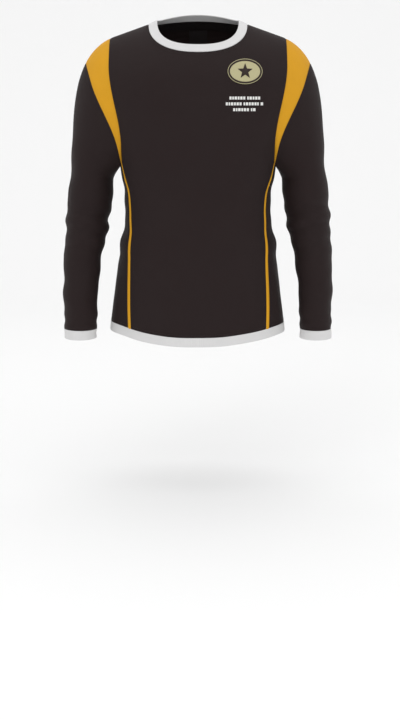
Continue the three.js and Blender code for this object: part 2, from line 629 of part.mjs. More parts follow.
addPair("cuff_band", sheet(cuffBand, FOLD_FACETS, 1, ribbed), FINISHES.white);
add("collar_band", sheet(collarBand, 40, 2, ribbed), FINISHES.white);
add("hem_band", sheet(hemBand, 56, 1, ribbed), FINISHES.white);
add("back_neck_tape", sheet(backNeckTape, 20, 1, inside(TAPE_DEPTH)), FINISHES.dark);
add("neck_label", sheet(neckLabel, 4, 2, inside(TAPE_DEPTH)), FINISHES.white);
add("care_label", sheet(careLabel, 2, 2, inside(TAPE_DEPTH)), FINISHES.white);
add("badge_ground", badgeGround(), FINISHES.badge);
add("badge_border", badgeBorder(), FINISHES.dark);
add("badge_star", badgeStar(), FINISHES.dark);
["top", "middle", "bottom"].forEach((place, row) => {
  add("print_bar_" + place, printBar(row), FINISHES.white);
});
add("hem_stitching", thread(hemStitches, awayFromBody, 64), FINISHES.body);
addPair("cuff_stitching", thread(cuffStitches, awayFromArm, 24), FINISHES.body);
add("collar_stitching", thread(neckStitches, awayFromNeck, 56, NECK_THREAD_LIFT), FINISHES.body);

export default shirt;
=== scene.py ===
"""Long-sleeved team shirt: fine cloth, bands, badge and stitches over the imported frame.

Sizes are in millimetres until a mesh is made, which is in metres. The front of the shirt faces -Y,
the wearer's left is +X, and the origin is level with the high shoulder points.
"""

import logging
import math
from collections.abc import Callable, Sequence
from dataclasses import dataclass, field
from enum import Enum

import bpy
import numpy as np
from numpy.typing import NDArray
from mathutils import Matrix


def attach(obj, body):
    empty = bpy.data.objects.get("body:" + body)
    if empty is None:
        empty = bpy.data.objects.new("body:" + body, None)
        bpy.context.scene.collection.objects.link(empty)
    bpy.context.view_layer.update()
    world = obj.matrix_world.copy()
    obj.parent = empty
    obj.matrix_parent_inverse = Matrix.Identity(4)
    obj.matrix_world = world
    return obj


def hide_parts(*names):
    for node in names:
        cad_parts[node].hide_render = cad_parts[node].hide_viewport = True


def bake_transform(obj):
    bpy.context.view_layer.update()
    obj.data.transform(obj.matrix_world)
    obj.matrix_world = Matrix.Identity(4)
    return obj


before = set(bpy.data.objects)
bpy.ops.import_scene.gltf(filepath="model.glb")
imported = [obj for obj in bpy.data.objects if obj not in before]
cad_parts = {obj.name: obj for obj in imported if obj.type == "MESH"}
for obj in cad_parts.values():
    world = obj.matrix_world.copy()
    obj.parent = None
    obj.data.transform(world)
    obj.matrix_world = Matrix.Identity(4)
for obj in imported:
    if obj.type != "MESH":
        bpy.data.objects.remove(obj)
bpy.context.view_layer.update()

Array = NDArray[np.float64]
Surface = Callable[[Array, Array], Array]

log = logging.getLogger("shirt")
MM = 0.001
TURN = 2 * math.pi


# ---- Small maths ---------------------------------------------------------------------------------
class Side(Enum):
    """Front or back of the body, as the sign of its Y."""

    FRONT = -1.0
    BACK = 1.0


class Arm(Enum):
    """The wearer's left or right sleeve, as the sign of its X."""

    LEFT = 1.0
    RIGHT = -1.0

    @property
    def word(self) -> str:
        """The name's first word in the frame's nodes and bodies."""
        return self.name.lower()


def ease(t: Array | float) -> Array:
    """Smooth step: 3 t squared minus 2 t cubed, with t held between 0 and 1."""
    t = np.clip(t, 0.0, 1.0)
    return t * t * (3 - 2 * t)


def mix(a: Array | float, b: Array | float, t: Array | float) -> Array:
    """Straight blend from a at t = 0 to b at t = 1."""
    return a + (b - a) * t


def bell(value: Array, centre: float, width: float) -> Array:
    """Gaussian bump of height 1 at the centre."""
    return np.exp(-(((value - centre) / width) ** 2))


def unit(vectors: Array) -> Array:
    """Vectors scaled to length 1 along their last axis."""
    length = np.linalg.norm(vectors, axis=-1, keepdims=True)
    return vectors / np.maximum(length, 1e-12)


def stack(x: Array, y: Array, z: Array) -> Array:
    """Points from three coordinate arrays."""
    return np.stack(np.broadcast_arrays(x, y, z), axis=-1).astype(float)


def side_of(angle: Array) -> Array:
    """-1 in front, 1 behind, by angle from centre front."""
    return np.where(np.cos(angle) > 0, -1.0, 1.0)


def tight_ends(count: int, ends: Sequence[float]) -> Array:
    """Grid parameters from 0 to 1 with extra lines close to both ends.

    Args:
        count: number of even steps.
        ends: distances of the extra lines from each end.

    Returns:
        Sorted parameters.
    """
    even = np.linspace(0, 1, count + 1)
    near = np.array(ends)
    return np.unique(np.concatenate([even, near, 1 - near]))


class Profile:
    """Smooth curve through stations of (level, value), with levels that fall."""

    def __init__(self, *stations: tuple[float, float]) -> None:
        """Keeps the stations."""
        self.levels, self.values = np.array(stations, float).T

    def __call__(self, level: Array | float) -> Array:
        """Value at a level: cubic Hermite pieces whose slopes are half the neighbours' difference.

        Args:
            level: levels in millimetres.

        Returns:
            The values there.
        """
        depth = -self.levels
        where = -np.asarray(level, float)
        last = len(depth) - 1
        i = np.clip(np.searchsorted(depth, where, side="right") - 1, 0, last - 1)
        t = np.clip((where - depth[i]) / (depth[i + 1] - depth[i]), 0, 1)
        v = self.values
        slope0 = (v[i + 1] - v[np.maximum(i - 1, 0)]) / 2
        slope1 = (v[np.minimum(i + 2, last)] - v[i]) / 2
        t2, t3 = t * t, t * t * t
        start = (2 * t3 - 3 * t2 + 1) * v[i] + (t3 - 2 * t2 + t) * slope0
        return start + (3 * t2 - 2 * t3) * v[i + 1] + (t3 - t2) * slope1


# ---- Sizes that the frame's design uses ------------------------------------------------------------
@dataclass(frozen=True)
class Cut:
    """The shirt's driving sizes in millimetres: the frame's, with a finer seam gap."""

    body_length: float = 695
    front_hem_dip: float = 25
    back_hem_dip: float = 46
    armhole_depth: float = 313
    chest: float = 178
    waist: float = 165
    hip: float = 180
    hem: float = 203
    neck: float = 110
    front_neck_drop: float = 63
    back_neck_drop: float = 10  # below the arch of the shoulder line
    neck_side_drop: float = 9
    shoulder: float = 197
    shoulder_slope: float = 0.35
    shoulder_rounding: float = 0.0116
    back_sweep: float = 47
    bicep_drop: float = 345
    sleeve_length: float = 365
    band: float = 21
    piping: float = 8
    seam: float = 0.15  # gap between two pieces that are sewn together
    under_band: float = 0.8  # how far the cloth reaches under a band
    front_reach: float = 126  # centre plane to the cloth at centre front, at the chest
    back_reach: float = 112  # the same at centre back
    bicep_offset: float = 64  # bicep centre outside the underarm
    wrist_offset: float = 92  # wrist centre outside the underarm

    @property
    def armpit_z(self) -> float:
        """Level of the underarm."""
        return -self.armhole_depth

    @property
    def hem_z(self) -> float:
        """Level of the hem edge at the sides."""
        return -self.body_length

    @property
    def ridge_z(self) -> float:
        """Level of the top of the armhole seam."""
        return float(self.shoulder_line(np.array(self.shoulder)))

    @property
    def cloth_end(self) -> float:
        """Height above a band's free edge at which the cloth ends under the band."""
        return self.band - self.under_band

    @property
    def cuff_z(self) -> float:
        """Level of the cuff's edge."""
        return -self.bicep_drop - self.sleeve_length

    def body_level(self, share: float) -> float:
        """Level at a share of the way from the underarm (0) to the hem at the side (1)."""
        return self.armpit_z + (self.hem_z - self.armpit_z) * share

    def shoulder_line(self, x: Array) -> Array:
        """Height of the shoulder line: an arch over the neck, a slope, then a parabola falling away.

        Args:
            x: distances from the centre line.

        Returns:
            The levels.
        """
        arch = self.shoulder_slope * (self.neck**2 - x**2) / (2 * self.neck)
        beyond = np.maximum(0, x - self.shoulder + 8)
        slope = -self.shoulder_slope * (x - self.neck) - self.shoulder_rounding * beyond**2
        return np.where(x < self.neck, arch, slope) - self.neck_side_drop


CUT = Cut()
POWER = 2.4  # exponent of the body's rounded section


# ---- Body surface ----------------------------------------------------------------------------------
class BodyForm:
    """The worn body of the shirt as one surface, with its folds.

    A section at a level is a superellipse: |x / half width| to a power plus |y / depth| to the same
    power is 1. Above the chest the depth closes over the shoulder line as a quarter circle does.
    """

    SHOULDER_SPREAD = 97.0
    FOLD_REACH = {Side.FRONT: 120.0, Side.BACK: 108.0}  # depths that set which way the folds stand
    ROUND = {Side.FRONT: 150.0, Side.BACK: 60.0}

    def __init__(self) -> None:
        """Lays out the level curves."""
        c = CUT
        waist, hip = c.body_level(0.23), c.body_level(0.52)
        self.lower_width = Profile(
            (c.armpit_z, c.chest), (waist, c.waist), (hip, c.hip), (c.hem_z, c.hem),
            (c.hem_z - c.back_hem_dip, c.hem + 3),
        )
        front_chest, front_waist, front_hem = c.front_reach, 116.0, 130.0
        back_chest, back_waist, back_hem = c.back_reach, 100.0, 130.0
        arm = c.armpit_z
        self.depth_curve = {
            Side.FRONT: Profile(
                (0, 0.62 * front_chest), (0.2 * arm, 0.78 * front_chest),
                (0.42 * arm, 0.93 * front_chest), (0.64 * arm, front_chest),
                (arm, 0.985 * front_chest), (waist, front_waist),
                (hip, (front_waist + front_hem) / 2), (c.hem_z - c.front_hem_dip, front_hem),
            ),
            Side.BACK: Profile(
                (0, 0.85 * back_chest), (0.2 * arm, 0.92 * back_chest), (0.5 * arm, back_chest),
                (arm, 0.96 * back_chest), (waist, back_waist),
                (hip, 0.55 * back_waist + 0.45 * back_hem), (c.hem_z - c.back_hem_dip, back_hem),
            ),
        }
        degrees = math.radians
        self.seam_curve = {
            Side.FRONT: Profile(
                (arm, degrees(73)), (c.body_level(0.12), degrees(67.5)),
                (c.body_level(0.3), degrees(63)), (c.body_level(0.5), degrees(57)),
                (c.body_level(0.76), degrees(52)), (c.hem_z - c.front_hem_dip, degrees(46.5)),
            ),
            Side.BACK: Profile(
                (arm, degrees(108)), (c.body_level(0.12), degrees(101)),
                (c.body_level(0.28), degrees(100)), (c.body_level(0.45), degrees(109)),
                (c.body_level(0.76), degrees(120)), (c.hem_z - c.back_hem_dip, degrees(125)),
            ),
        }

    def armhole_share(self, z: Array) -> Array:
        """0 at the underarm, 1 at the top of the armhole."""
        return np.clip((z - CUT.armpit_z) / (CUT.ridge_z - CUT.armpit_z), 0, 1)

    def half_width(self, z: Array) -> Array:
        """Half width of the section at a level."""
        spread = self.SHOULDER_SPREAD * np.sin(math.pi / 2 * self.armhole_share(z)) ** 1.3
        return np.where(z < CUT.armpit_z, self.lower_width(z), CUT.chest + spread)

    def depth(self, x: Array, z: Array, side: Array) -> Array:
        """Y of the smooth surface: reach at the level, times a quarter circle, times the superellipse.

        Args:
            x: distances from the centre line, signed.
            z: levels.
            side: -1 in front, 1 behind.

        Returns:
            The Y values.
        """
        fall = np.maximum(0, CUT.shoulder_line(np.abs(x)) - z)
        rounding = np.where(side < 0, self.ROUND[Side.FRONT], self.ROUND[Side.BACK])
        cap = np.sqrt(1 - (1 - np.minimum(fall / rounding, 1)) ** 2)
        reach = np.where(side < 0, self.depth_curve[Side.FRONT](z), self.depth_curve[Side.BACK](z))
        across = np.minimum(np.abs(x) / self.half_width(z), 1)
        return side * reach * cap * (1 - across**POWER) ** (1 / POWER)

    def smooth_at(self, angle: Array, z: Array) -> Array:
        """Point of the smooth surface by angle: 0 centre front, a quarter turn the wearer's left."""
        s = np.sin(angle)
        x = self.half_width(z) * np.sign(s) * np.abs(s) ** (2 / POWER)
        return stack(x, self.depth(x, z, side_of(angle)), z)

    def further(self, angle: Array, z: Array, distance: Array | float) -> Array:
        """The angle that lies a distance further round the section.

        Args:
            angle: start angles.
            z: levels.
            distance: distances along the section, signed.

        Returns:
            The angles.
        """
        step = 0.002
        span = np.linalg.norm(self.smooth_at(angle + step, z) - self.smooth_at(angle, z), axis=-1)
        return angle + distance * step / span

    def armhole_x(self, z: Array, side: Side) -> Array:
        """Distance of the armhole seam from the centre line.

        In front an ease from the underarm to the shoulder point, behind a straight blend and a sine.

        Args:
            z: levels.
            side: front or back.

        Returns:
            The distances.
        """
        share = self.armhole_share(z)
        level = np.array(CUT.armpit_z)
        underarm = self.smooth_at(self.seam_curve[side](level), level)[..., 0]
        if side is Side.FRONT:
            return mix(underarm, CUT.shoulder, ease((share - 0.15) / 0.65))
        return mix(underarm, CUT.shoulder, share) + CUT.back_sweep * np.sin(math.pi * share**2.2)

    # -- folds --
    def fold_height(self, x: Array, z: Array, y: Array) -> Array:
        """How far the cloth stands off the smooth surface.

        The sum of: long drape waves that grow towards the hem, crosswise creases at the waist that
        are deepest at its sides, and ridges that fan out from each underarm. All fade out at the
        armhole and the neck.

        Args:
            x: distances from the centre line, signed.
            z: levels.
            y: the smooth surface's Y there.

        Returns:
            The heights, outwards.
        """
        angle = np.arctan2(x / CUT.chest, -y / self.FOLD_REACH[Side.FRONT])
        low = ease((-z - 330) / 330)
        drape = 1.9 * np.sin(5 * angle + 1.3 + z / 150) + 1.3 * np.sin(8 * angle - 0.7 - z / 120)
        drape = drape + 0.8 * np.sin(13 * angle + 2.1 + z / 70)
        sides = np.abs(np.sin(angle)) ** 5 * bell(z, -455, 95)
        crease = sides * (2.1 * np.sin(z / 13.5 + 1.7 * np.cos(angle) + 0.4) + 1.2 * np.sin(z / 8.1))
        middle = bell(z, -430, 130) * (0.9 * np.sin(z / 24 + 2.2 * np.sin(angle) + 1.0))
        fan = self.underarm_fan(x, z, np.where(y < 0, 1.0, 0.8))
        edge_x = np.where(y < 0, self.armhole_x(z, Side.FRONT), self.armhole_x(z, Side.BACK))
        clear = np.hypot(np.abs(x) - edge_x, np.maximum(0, CUT.armpit_z - z))
        below_neck = ease((-z - 70) / 110)
        return (drape * (0.18 + low) + crease + middle + fan) * ease(clear / 55) * below_neck

    def underarm_fan(self, x: Array, z: Array, strength: Array) -> Array:
        """Ridges that start at each underarm and run down and in, each a Gaussian across its line.

        Args:
            x: distances from the centre line, signed.
            z: levels.
            strength: share of the full height.

        Returns:
            The heights, outwards.
        """
        total = np.zeros(np.broadcast(x, z).shape)
        for sign in (-1.0, 1.0):
            across = sign * x
            for slant, height, length in ((-8, 2.0, 90), (-34, -1.8, 120), (-55, 2.4, 150), (-74, 1.8, 130)):
                way = math.radians(slant + 3 * sign)
                run = -(across - CUT.chest) * math.cos(way) + (z - CUT.armpit_z) * math.sin(way)
                off = (across - CUT.chest) * math.sin(way) + (z - CUT.armpit_z) * math.cos(way)
                along = ease(run / 50) * np.exp(-np.maximum(run, 0) / length)
                total = total + height * along * np.exp(-((off / (9 + 0.1 * np.maximum(run, 0))) ** 2))
        return total * strength

    def skin(self, x: Array, z: Array, side: Array | float) -> Array:
        """Point of the folded cloth: the smooth point moved out level with the ground.

        Args:
            x: distances from the centre line, signed.
            z: levels.
            side: -1 in front, 1 behind.

        Returns:
            The points.
        """
        x, z, side = np.broadcast_arrays(x, z, side)
        y = self.depth(x, z, side)
        reach = np.where(side < 0, self.FOLD_REACH[Side.FRONT], self.FOLD_REACH[Side.BACK])
        outwards = unit(stack(x / self.half_width(z) ** 2, y / reach**2, 0 * z))
        return stack(x, y, z) + outwards * self.fold_height(x, z, y)[..., None]

    def skin_at(self, angle: Array, z: Array) -> Array:
        """Point of the folded cloth by angle round the body."""
        smooth = self.smooth_at(angle, z)
        return self.skin(smooth[..., 0], smooth[..., 2], side_of(angle))

    # -- outlines --
    def hem_level(self, x: Array, side: Array | float) -> Array:
        """Level of the hem's edge: a parabola, lowest at the centre."""
        dip = np.where(np.asarray(side) < 0, CUT.front_hem_dip, CUT.back_hem_dip)
        return CUT.hem_z - dip * (1 - (x / CUT.hem) ** 2)

    def neck_level(self, x: Array, side: Array | float) -> Array:
        """Level of the neck seam: a flattened half oval in front, and a shallow one behind.

        Args:
            x: distances from the centre line, signed.
            side: -1 in front, 1 behind.

        Returns:
            The levels.
        """
        share = np.minimum(np.abs(x) / CUT.neck, 1)
        front = -CUT.neck_side_drop - CUT.front_neck_drop * (1 - share**2.3) ** (1 / 2.3)
        back = CUT.shoulder_line(np.abs(x)) - CUT.back_neck_drop * (1 - share**2) ** 0.7
        return np.where(np.asarray(side) < 0, front, back)

    def hem_edge(self, x_at: Callable[[Array], Array], side: Array | float, above: float = 0.0) -> Array:
        """Level of the hem's edge, or a height above it, found by repeating level = edge at x(level).

        Args:
            x_at: distance from the centre line by level.
            side: -1 in front, 1 behind.
            above: height above the edge.

        Returns:
            The levels.
        """
        z = np.full(np.shape(side), CUT.hem_z, float)
        for _ in range(10):
            z = self.hem_level(x_at(z), side) + above
        return z

    def round_hem(self, angle: Array, height: Array) -> Array:
        """Point of the cloth by angle, at a height above the hem's edge."""
        edge = self.hem_edge(lambda z: self.smooth_at(angle, z)[..., 0], side_of(angle))
        return self.skin_at(angle, edge + height)

    def piping_half(self, z: Array) -> Array:
        """Half the piping's width: it narrows to a third towards the underarm."""
        return CUT.piping / 2 * mix(1 / 3, 1, ease((CUT.armpit_z - z) / (0.15 * CUT.armhole_depth)))

    def panel_edge(self, z: Array, side: Side) -> Array:
        """Half width of the front or back panel, up to its side seam and its armhole.

        Args:
            z: levels.
            side: front or back.

        Returns:
            The half widths.
        """
        clear = side.value * (self.piping_half(z) + CUT.seam)
        low = self.smooth_at(self.further(self.seam_curve[side](z), z, clear), z)[..., 0]
        high = self.armhole_x(np.minimum(z, CUT.ridge_z), side) - CUT.seam
        return np.where(z < CUT.armpit_z, low, high)

    def neck_seam(self, angle: Array, drop: Array | float = 0.0) -> Array:
        """Point of the neck seam, optionally lower on the cloth.

        Args:
            angle: angles from centre front.
            drop: how far below the seam.

        Returns:
            The points.
        """
        side = side_of(angle)
        x = CUT.neck * np.sin(angle)
        z = self.neck_level(x, side) - drop
        return stack(x, self.depth(x, z, side), z)


BODY = BodyForm()


# ---- Sleeve surface --------------------------------------------------------------------------------
class SleeveForm:
    """One sleeve: a head from the armhole to the bicep line, then a tube to the cuff.

    It is worked out for the wearer's left arm; the right arm is its mirror image with other folds.
    """

    ROUND_BOTTOM = 1 / 16
    INSERT_SHARE = 0.25
    BICEP = (50.0, 62.0)  # half width, half depth
    WRIST = (36.0, 40.0)

    def __init__(self, arm: Arm, phase: float) -> None:
        """Lays out the arm's line and its girths.

        Args:
            arm: left or right.
            phase: shift of the folds, so that the two sleeves differ.
        """
        self.arm = arm
        self.phase = phase
        self.bicep_z = -CUT.bicep_drop
        self.centre = np.array([CUT.chest + CUT.bicep_offset, 2.0, self.bicep_z])
        self.axis = unit(np.array([0.14, 0.0, -1.0]))
        levels = [mix(self.bicep_z, CUT.cuff_z, s) for s in (0, 0.11, 0.28, 0.56, 0.94, 1)]

        def along(start: float, end: float, shares: Sequence[float]) -> Profile:
            """A curve down the arm from shares of the way between two values."""
            return Profile(*[(lv, mix(start, end, s)) for lv, s in zip(levels, shares)])

        self.arm_x = along(self.centre[0], CUT.chest + CUT.wrist_offset, (0, 0.17, 0.42, 0.9, 1, 1))
        self.arm_y = along(self.centre[1], -56.0, (0, 0.01, 0.06, 0.45, 0.95, 1.03))
        self.half_w = along(self.BICEP[0], self.WRIST[0], (0, -0.08, 0.14, 0.68, 0.98, 1))
        self.half_d = along(self.BICEP[1], self.WRIST[1], (0, 0.06, 0.22, 0.66, 0.97, 1))

    def armhole(self, turn: Array) -> Array:
        """The armhole loop: an arc under the arm, then a cosine rise to the shoulder point.

        Args:
            turn: 0 underarm, a quarter front, a half shoulder point, three quarters back.

        Returns:
            The points.
        """
        t = turn - np.floor(turn)
        back = t >= 0.5
        from_bottom = np.minimum(t, 1 - t)
        rise = (1 - np.cos(math.pi * (from_bottom - self.ROUND_BOTTOM) / (0.5 - self.ROUND_BOTTOM))) / 2
        z = mix(CUT.armpit_z, CUT.ridge_z, np.where(from_bottom < self.ROUND_BOTTOM, 0, rise))
        x = np.where(back, BODY.armhole_x(z, Side.BACK), BODY.armhole_x(z, Side.FRONT))
        upper = stack(x, BODY.depth(x, z, np.where(back, 1.0, -1.0)), z)
        level = np.array(CUT.armpit_z)
        front, behind = BODY.seam_curve[Side.FRONT](level), BODY.seam_curve[Side.BACK](level)
        corner = np.where(back, behind, front)
        angle = mix((front + behind) / 2, corner, from_bottom / self.ROUND_BOTTOM)
        lower = BODY.smooth_at(angle, np.full(np.shape(t), CUT.armpit_z))
        return np.where((from_bottom < self.ROUND_BOTTOM)[..., None], lower, upper)

    @staticmethod
    def ring(turn: Array, centre: Array, axis: Array, half_w: Array, half_d: Array) -> Array:
        """An elliptical ring round the arm, square to its axis in the XZ plane.

        Args:
            turn: 0 inside, a quarter front, a half outside, three quarters back.
            centre: the ring's middle.
            axis: unit direction of the arm.
            half_w: half width.
            half_d: half depth.

        Returns:
            The points.
        """
        angle = TURN * turn
        across = unit(stack(-axis[..., 2], 0 * axis[..., 2], axis[..., 0]))
        w = (-np.cos(angle) * half_w)[..., None]
        d = (-np.sin(angle) * half_d)[..., None]
        return centre + across * w + np.array([0.0, 1.0, 0.0]) * d

    def insert_end(self, turn: Array) -> Array:
        """Share of the sleeve head that the insert covers: nothing at the underarm."""
        return self.INSERT_SHARE * np.abs(np.sin(math.pi * turn)) ** 1.15

    def head(self, turn: Array, share: Array) -> Array:
        """Cubic Hermite strip from the armhole loop to the bicep ring.

        Args:
            turn: way round the arm.
            share: 0 at the armhole, 1 at the bicep line.

        Returns:
            The points.
        """
        turn, share = np.broadcast_arrays(turn, share)
        start = self.armhole(turn)
        axis = np.broadcast_to(self.axis, start.shape)
        end = self.ring(turn, self.centre, axis, *(np.full(turn.shape, v) for v in self.BICEP))
        reach = np.linalg.norm(end - start, axis=-1, keepdims=True)
        full = (np.sin(math.pi * turn) ** 2)[..., None]
        out = unit(stack(1 + 0 * turn, -0.45 * start[..., 1] / CUT.front_reach, 0.5 + 0 * turn))
        leave = unit(unit(end - start) + out * 0.95 * full) * reach * 1.05
        arrive = axis * reach * mix(0.6, 0.9, full)
        s = share[..., None]
        s2, s3 = s * s, s * s * s
        point = start * (2 * s3 - 3 * s2 + 1) + leave * (s3 - 2 * s2 + s)
        return point + end * (3 * s2 - 2 * s3) + arrive * (s3 - s2)

    def tube(self, turn: Array, z: Array) -> Array:
        """Elliptical tube below the bicep line.

        Args:
            turn: way round the arm.
            z: levels.

        Returns:
            The points.
        """
        turn, z = np.broadcast_arrays(turn, z)
        centre = stack(self.arm_x(z), self.arm_y(z), z)
        level = np.clip((self.bicep_z - z) / (self.bicep_z - CUT.body_level(0.23)), 0, 1)[..., None]
        axis = mix(self.axis, np.array([0.0, 0.0, -1.0]), level)
        return self.ring(turn, centre, axis, self.half_w(z), self.half_d(z))

    def fold_height(self, turn: Array, z: Array) -> Array:
        """Folds round the arm: slanted creases at the elbow, long twists, and bunching at the cuff.

        Each is a sine along the arm whose phase leans with the angle round it, under a Gaussian.

        Args:
            turn: way round the arm.
            z: levels.

        Returns:
            The heights, outwards.
        """
        angle = TURN * turn
        z = z + 9.0 * self.phase
        angle = angle + 0.5 * self.phase
        front = 0.5 + 0.5 * np.sin(angle)
        elbow = bell(z, -448, 52) * (2.6 * front + 0.7) * np.sin(z / 6.6 + 2.4 * np.cos(angle + 0.5))
        elbow = elbow + bell(z, -432, 70) * 1.6 * np.sin(z / 14.5 + 1.3 * np.cos(angle - 0.8) + 1.2)
        upper = bell(z, -318, 85) * 1.7 * np.sin(z / 17 + 2.1 * np.cos(angle + 0.9))
        twist = bell(z, -580, 80) * (1.5 * np.sin(z / 15 + angle + 0.7) + 0.9 * np.sin(z / 9 - 2 * angle))
        cuff = bell(z, CUT.cuff_z + 40, 26) * 1.3 * np.sin(z / 5.2 + 1.4 * np.cos(angle + 1.0))
        long_folds = 1.1 * np.sin(2 * angle + z / 90 + 0.5) * ease((-z - 250) / 120)
        at_band = 1 - 0.7 * ease((-z + CUT.cuff_z + 26) / 22)
        return (elbow + upper + twist + cuff + long_folds) * np.clip(at_band, 0.3, 1)

    def skin(self, turn: Array, run: Array) -> Array:
        """Point of the folded sleeve.

        Args:
            turn: way round the arm.
            run: 0 to 1 down the head, then 1 to 2 from the bicep line to the cuff's edge.

        Returns:
            The points.
        """
        turn, run = np.broadcast_arrays(self.arm.value * np.asarray(turn, float), np.asarray(run, float))
        upper = self.head(turn, np.clip(run, 0, 1))
        lower = self.tube(turn, mix(self.bicep_z, CUT.cuff_z, np.clip(run - 1, 0, 2)))
        point = np.where((run <= 1)[..., None], upper, lower)
        z = point[..., 2]
        middle = stack(self.arm_x(z), self.arm_y(z), z)
        fade = ease((run - self.insert_end(turn) - 0.1) / 0.6)
        point = point + unit(point - middle) * (self.fold_height(turn, z) * fade)[..., None]
        return point * np.array([self.arm.value, 1.0, 1.0])

    def run_at(self, z: Array | float) -> Array | float:
        """The run at a level below the bicep line."""
        return 1 + (self.bicep_z - z) / (self.bicep_z - CUT.cuff_z)


SLEEVES = {Arm.LEFT: SleeveForm(Arm.LEFT, 0.0), Arm.RIGHT: SleeveForm(Arm.RIGHT, 1.0)}


# ---- Meshes ----------------------------------------------------------------------------------------
def grid_normals(points: Array, closed: bool) -> Array:
    """Unit normals of a grid: the cross product of its differences along columns and rows.

    Args:
        points: the grid, (rows, columns, 3).
        closed: whether the columns join up.

    Returns:
        The normals.
    """
    if closed:
        across = np.roll(points, -1, axis=1) - np.roll(points, 1, axis=1)
    else:
        across = np.gradient(points, axis=1)
    return unit(np.cross(across, np.gradient(points, axis=0)))


def surface_normals(surface: Surface, a: Array, b: Array, step: float) -> Array:
    """Outward unit normals of a surface of two parameters, by central differences.

    Args:
        surface: the surface.
        a: first parameter, whose lines run across.
        b: second parameter, whose lines run up.
        step: half the span of a difference.

    Returns:
        The normals.
    """
    across = surface(a + step, b) - surface(a - step, b)
    up = surface(a, b + step) - surface(a, b - step)
    return unit(np.cross(across, up))


def arc_lengths(points: Array, axis: int) -> Array:
    """Distance travelled along one axis of a grid, starting from 0.

    Args:
        points: the grid.
        axis: the axis to travel along.

    Returns:
        The distances.
    """
    steps = np.linalg.norm(np.diff(points, axis=axis), axis=-1)
    start = np.zeros_like(np.take(steps, [0], axis=axis))
    return np.concatenate([start, np.cumsum(steps, axis=axis)], axis=axis)


def grid_quads(rows: int, columns: int, closed: bool) -> Array:
    """Vertex numbers of a grid's quads, wound so that column x row faces out.

    Args:
        rows: number of rows.
        columns: number of columns.
        closed: whether the columns join up.

    Returns:
        The quads, one a row.
    """
    last = columns if closed else columns - 1
    row, column = np.meshgrid(np.arange(rows - 1), np.arange(last), indexing="ij")
    right = (column + 1) % columns
    corners = [row * columns + column, row * columns + right]
    corners += [(row + 1) * columns + right, (row + 1) * columns + column]
    return np.stack([c.ravel() for c in corners], axis=-1)


@dataclass
class Solid:
    """A mesh being gathered: points in millimetres, faces, and what goes with each point."""

    verts: Array
    faces: list[Array]
    uvs: Array | None = None  # one pair for each point, in metres of cloth
    period: Array | None = None  # girth at each point of a closed grid, in metres
    normals: Array | None = None
    rim: Array | None = None  # 1 at a seam, 0 away from it

    @staticmethod
    def gathered(parts: "Sequence[Solid]") -> "Solid":
        """One solid from several, with their faces renumbered.

        Args:
            parts: the solids.

        Returns:
            The solid.
        """
        starts = np.cumsum([0] + [len(part.verts) for part in parts[:-1]])
        faces = [block + start for part, start in zip(parts, starts) for block in part.faces]
        whole = Solid(np.concatenate([part.verts for part in parts]), faces)
        if all(part.uvs is not None for part in parts):
            whole.uvs = np.concatenate([part.uvs for part in parts])
        return whole

    def made(self, name: str) -> bpy.types.Object:
        """Makes the linked, smooth-shaded mesh object, in metres, at the origin.

        Args:
            name: the piece's name.

        Returns:
            The object.
        """
        mesh = bpy.data.meshes.new(name)
        lists = [face for block in self.faces for face in block.tolist()]
        mesh.from_pydata((self.verts * MM).tolist(), [], lists)
        mesh.polygons.foreach_set("use_smooth", np.ones(len(mesh.polygons), bool))
        if self.uvs is not None:
            loops = np.empty(len(mesh.loops), np.int32)
            mesh.loops.foreach_get("vertex_index", loops)
            pairs = self.uvs[loops]
            if self.period is not None:
                pairs = self.unwrapped(pairs.reshape(-1, 4, 2), self.period[loops].reshape(-1, 4))
            layer = mesh.uv_layers.new(name="cloth")
            layer.data.foreach_set("uv", pairs.astype(np.float32).ravel())
        if self.rim is not None:
            layer = mesh.attributes.new("rim", "FLOAT", "POINT")
            layer.data.foreach_set("value", self.rim.astype(np.float32))
        mesh.update()
        if self.normals is not None:
            mesh.normals_split_custom_set_from_vertices(self.normals.tolist())
        obj = bpy.data.objects.new(name, mesh)
        bpy.context.scene.collection.objects.link(obj)
        return obj

    @staticmethod
    def unwrapped(pairs: Array, period: Array) -> Array:
        """Carries the faces that close a grid past its last column, by one girth.

        Args:
            pairs: each face's corners' places on the cloth.
            period: each corner's girth.

        Returns:
            The same places, carried over.
        """
        most = pairs[..., 0].max(axis=1, keepdims=True)
        behind = pairs[..., 0] < most - period / 2
        pairs[..., 0] += np.where(behind, period, 0)
        return pairs


@dataclass(frozen=True)
class Tuck:
    """How far a sheet's rims dip into their seams, in millimetres."""

    bottom: float = 0.5
    top: float = 0.5
    sides: float = 0.5
    reach: float = 2.2


FLAT = Tuck(0, 0, 0)


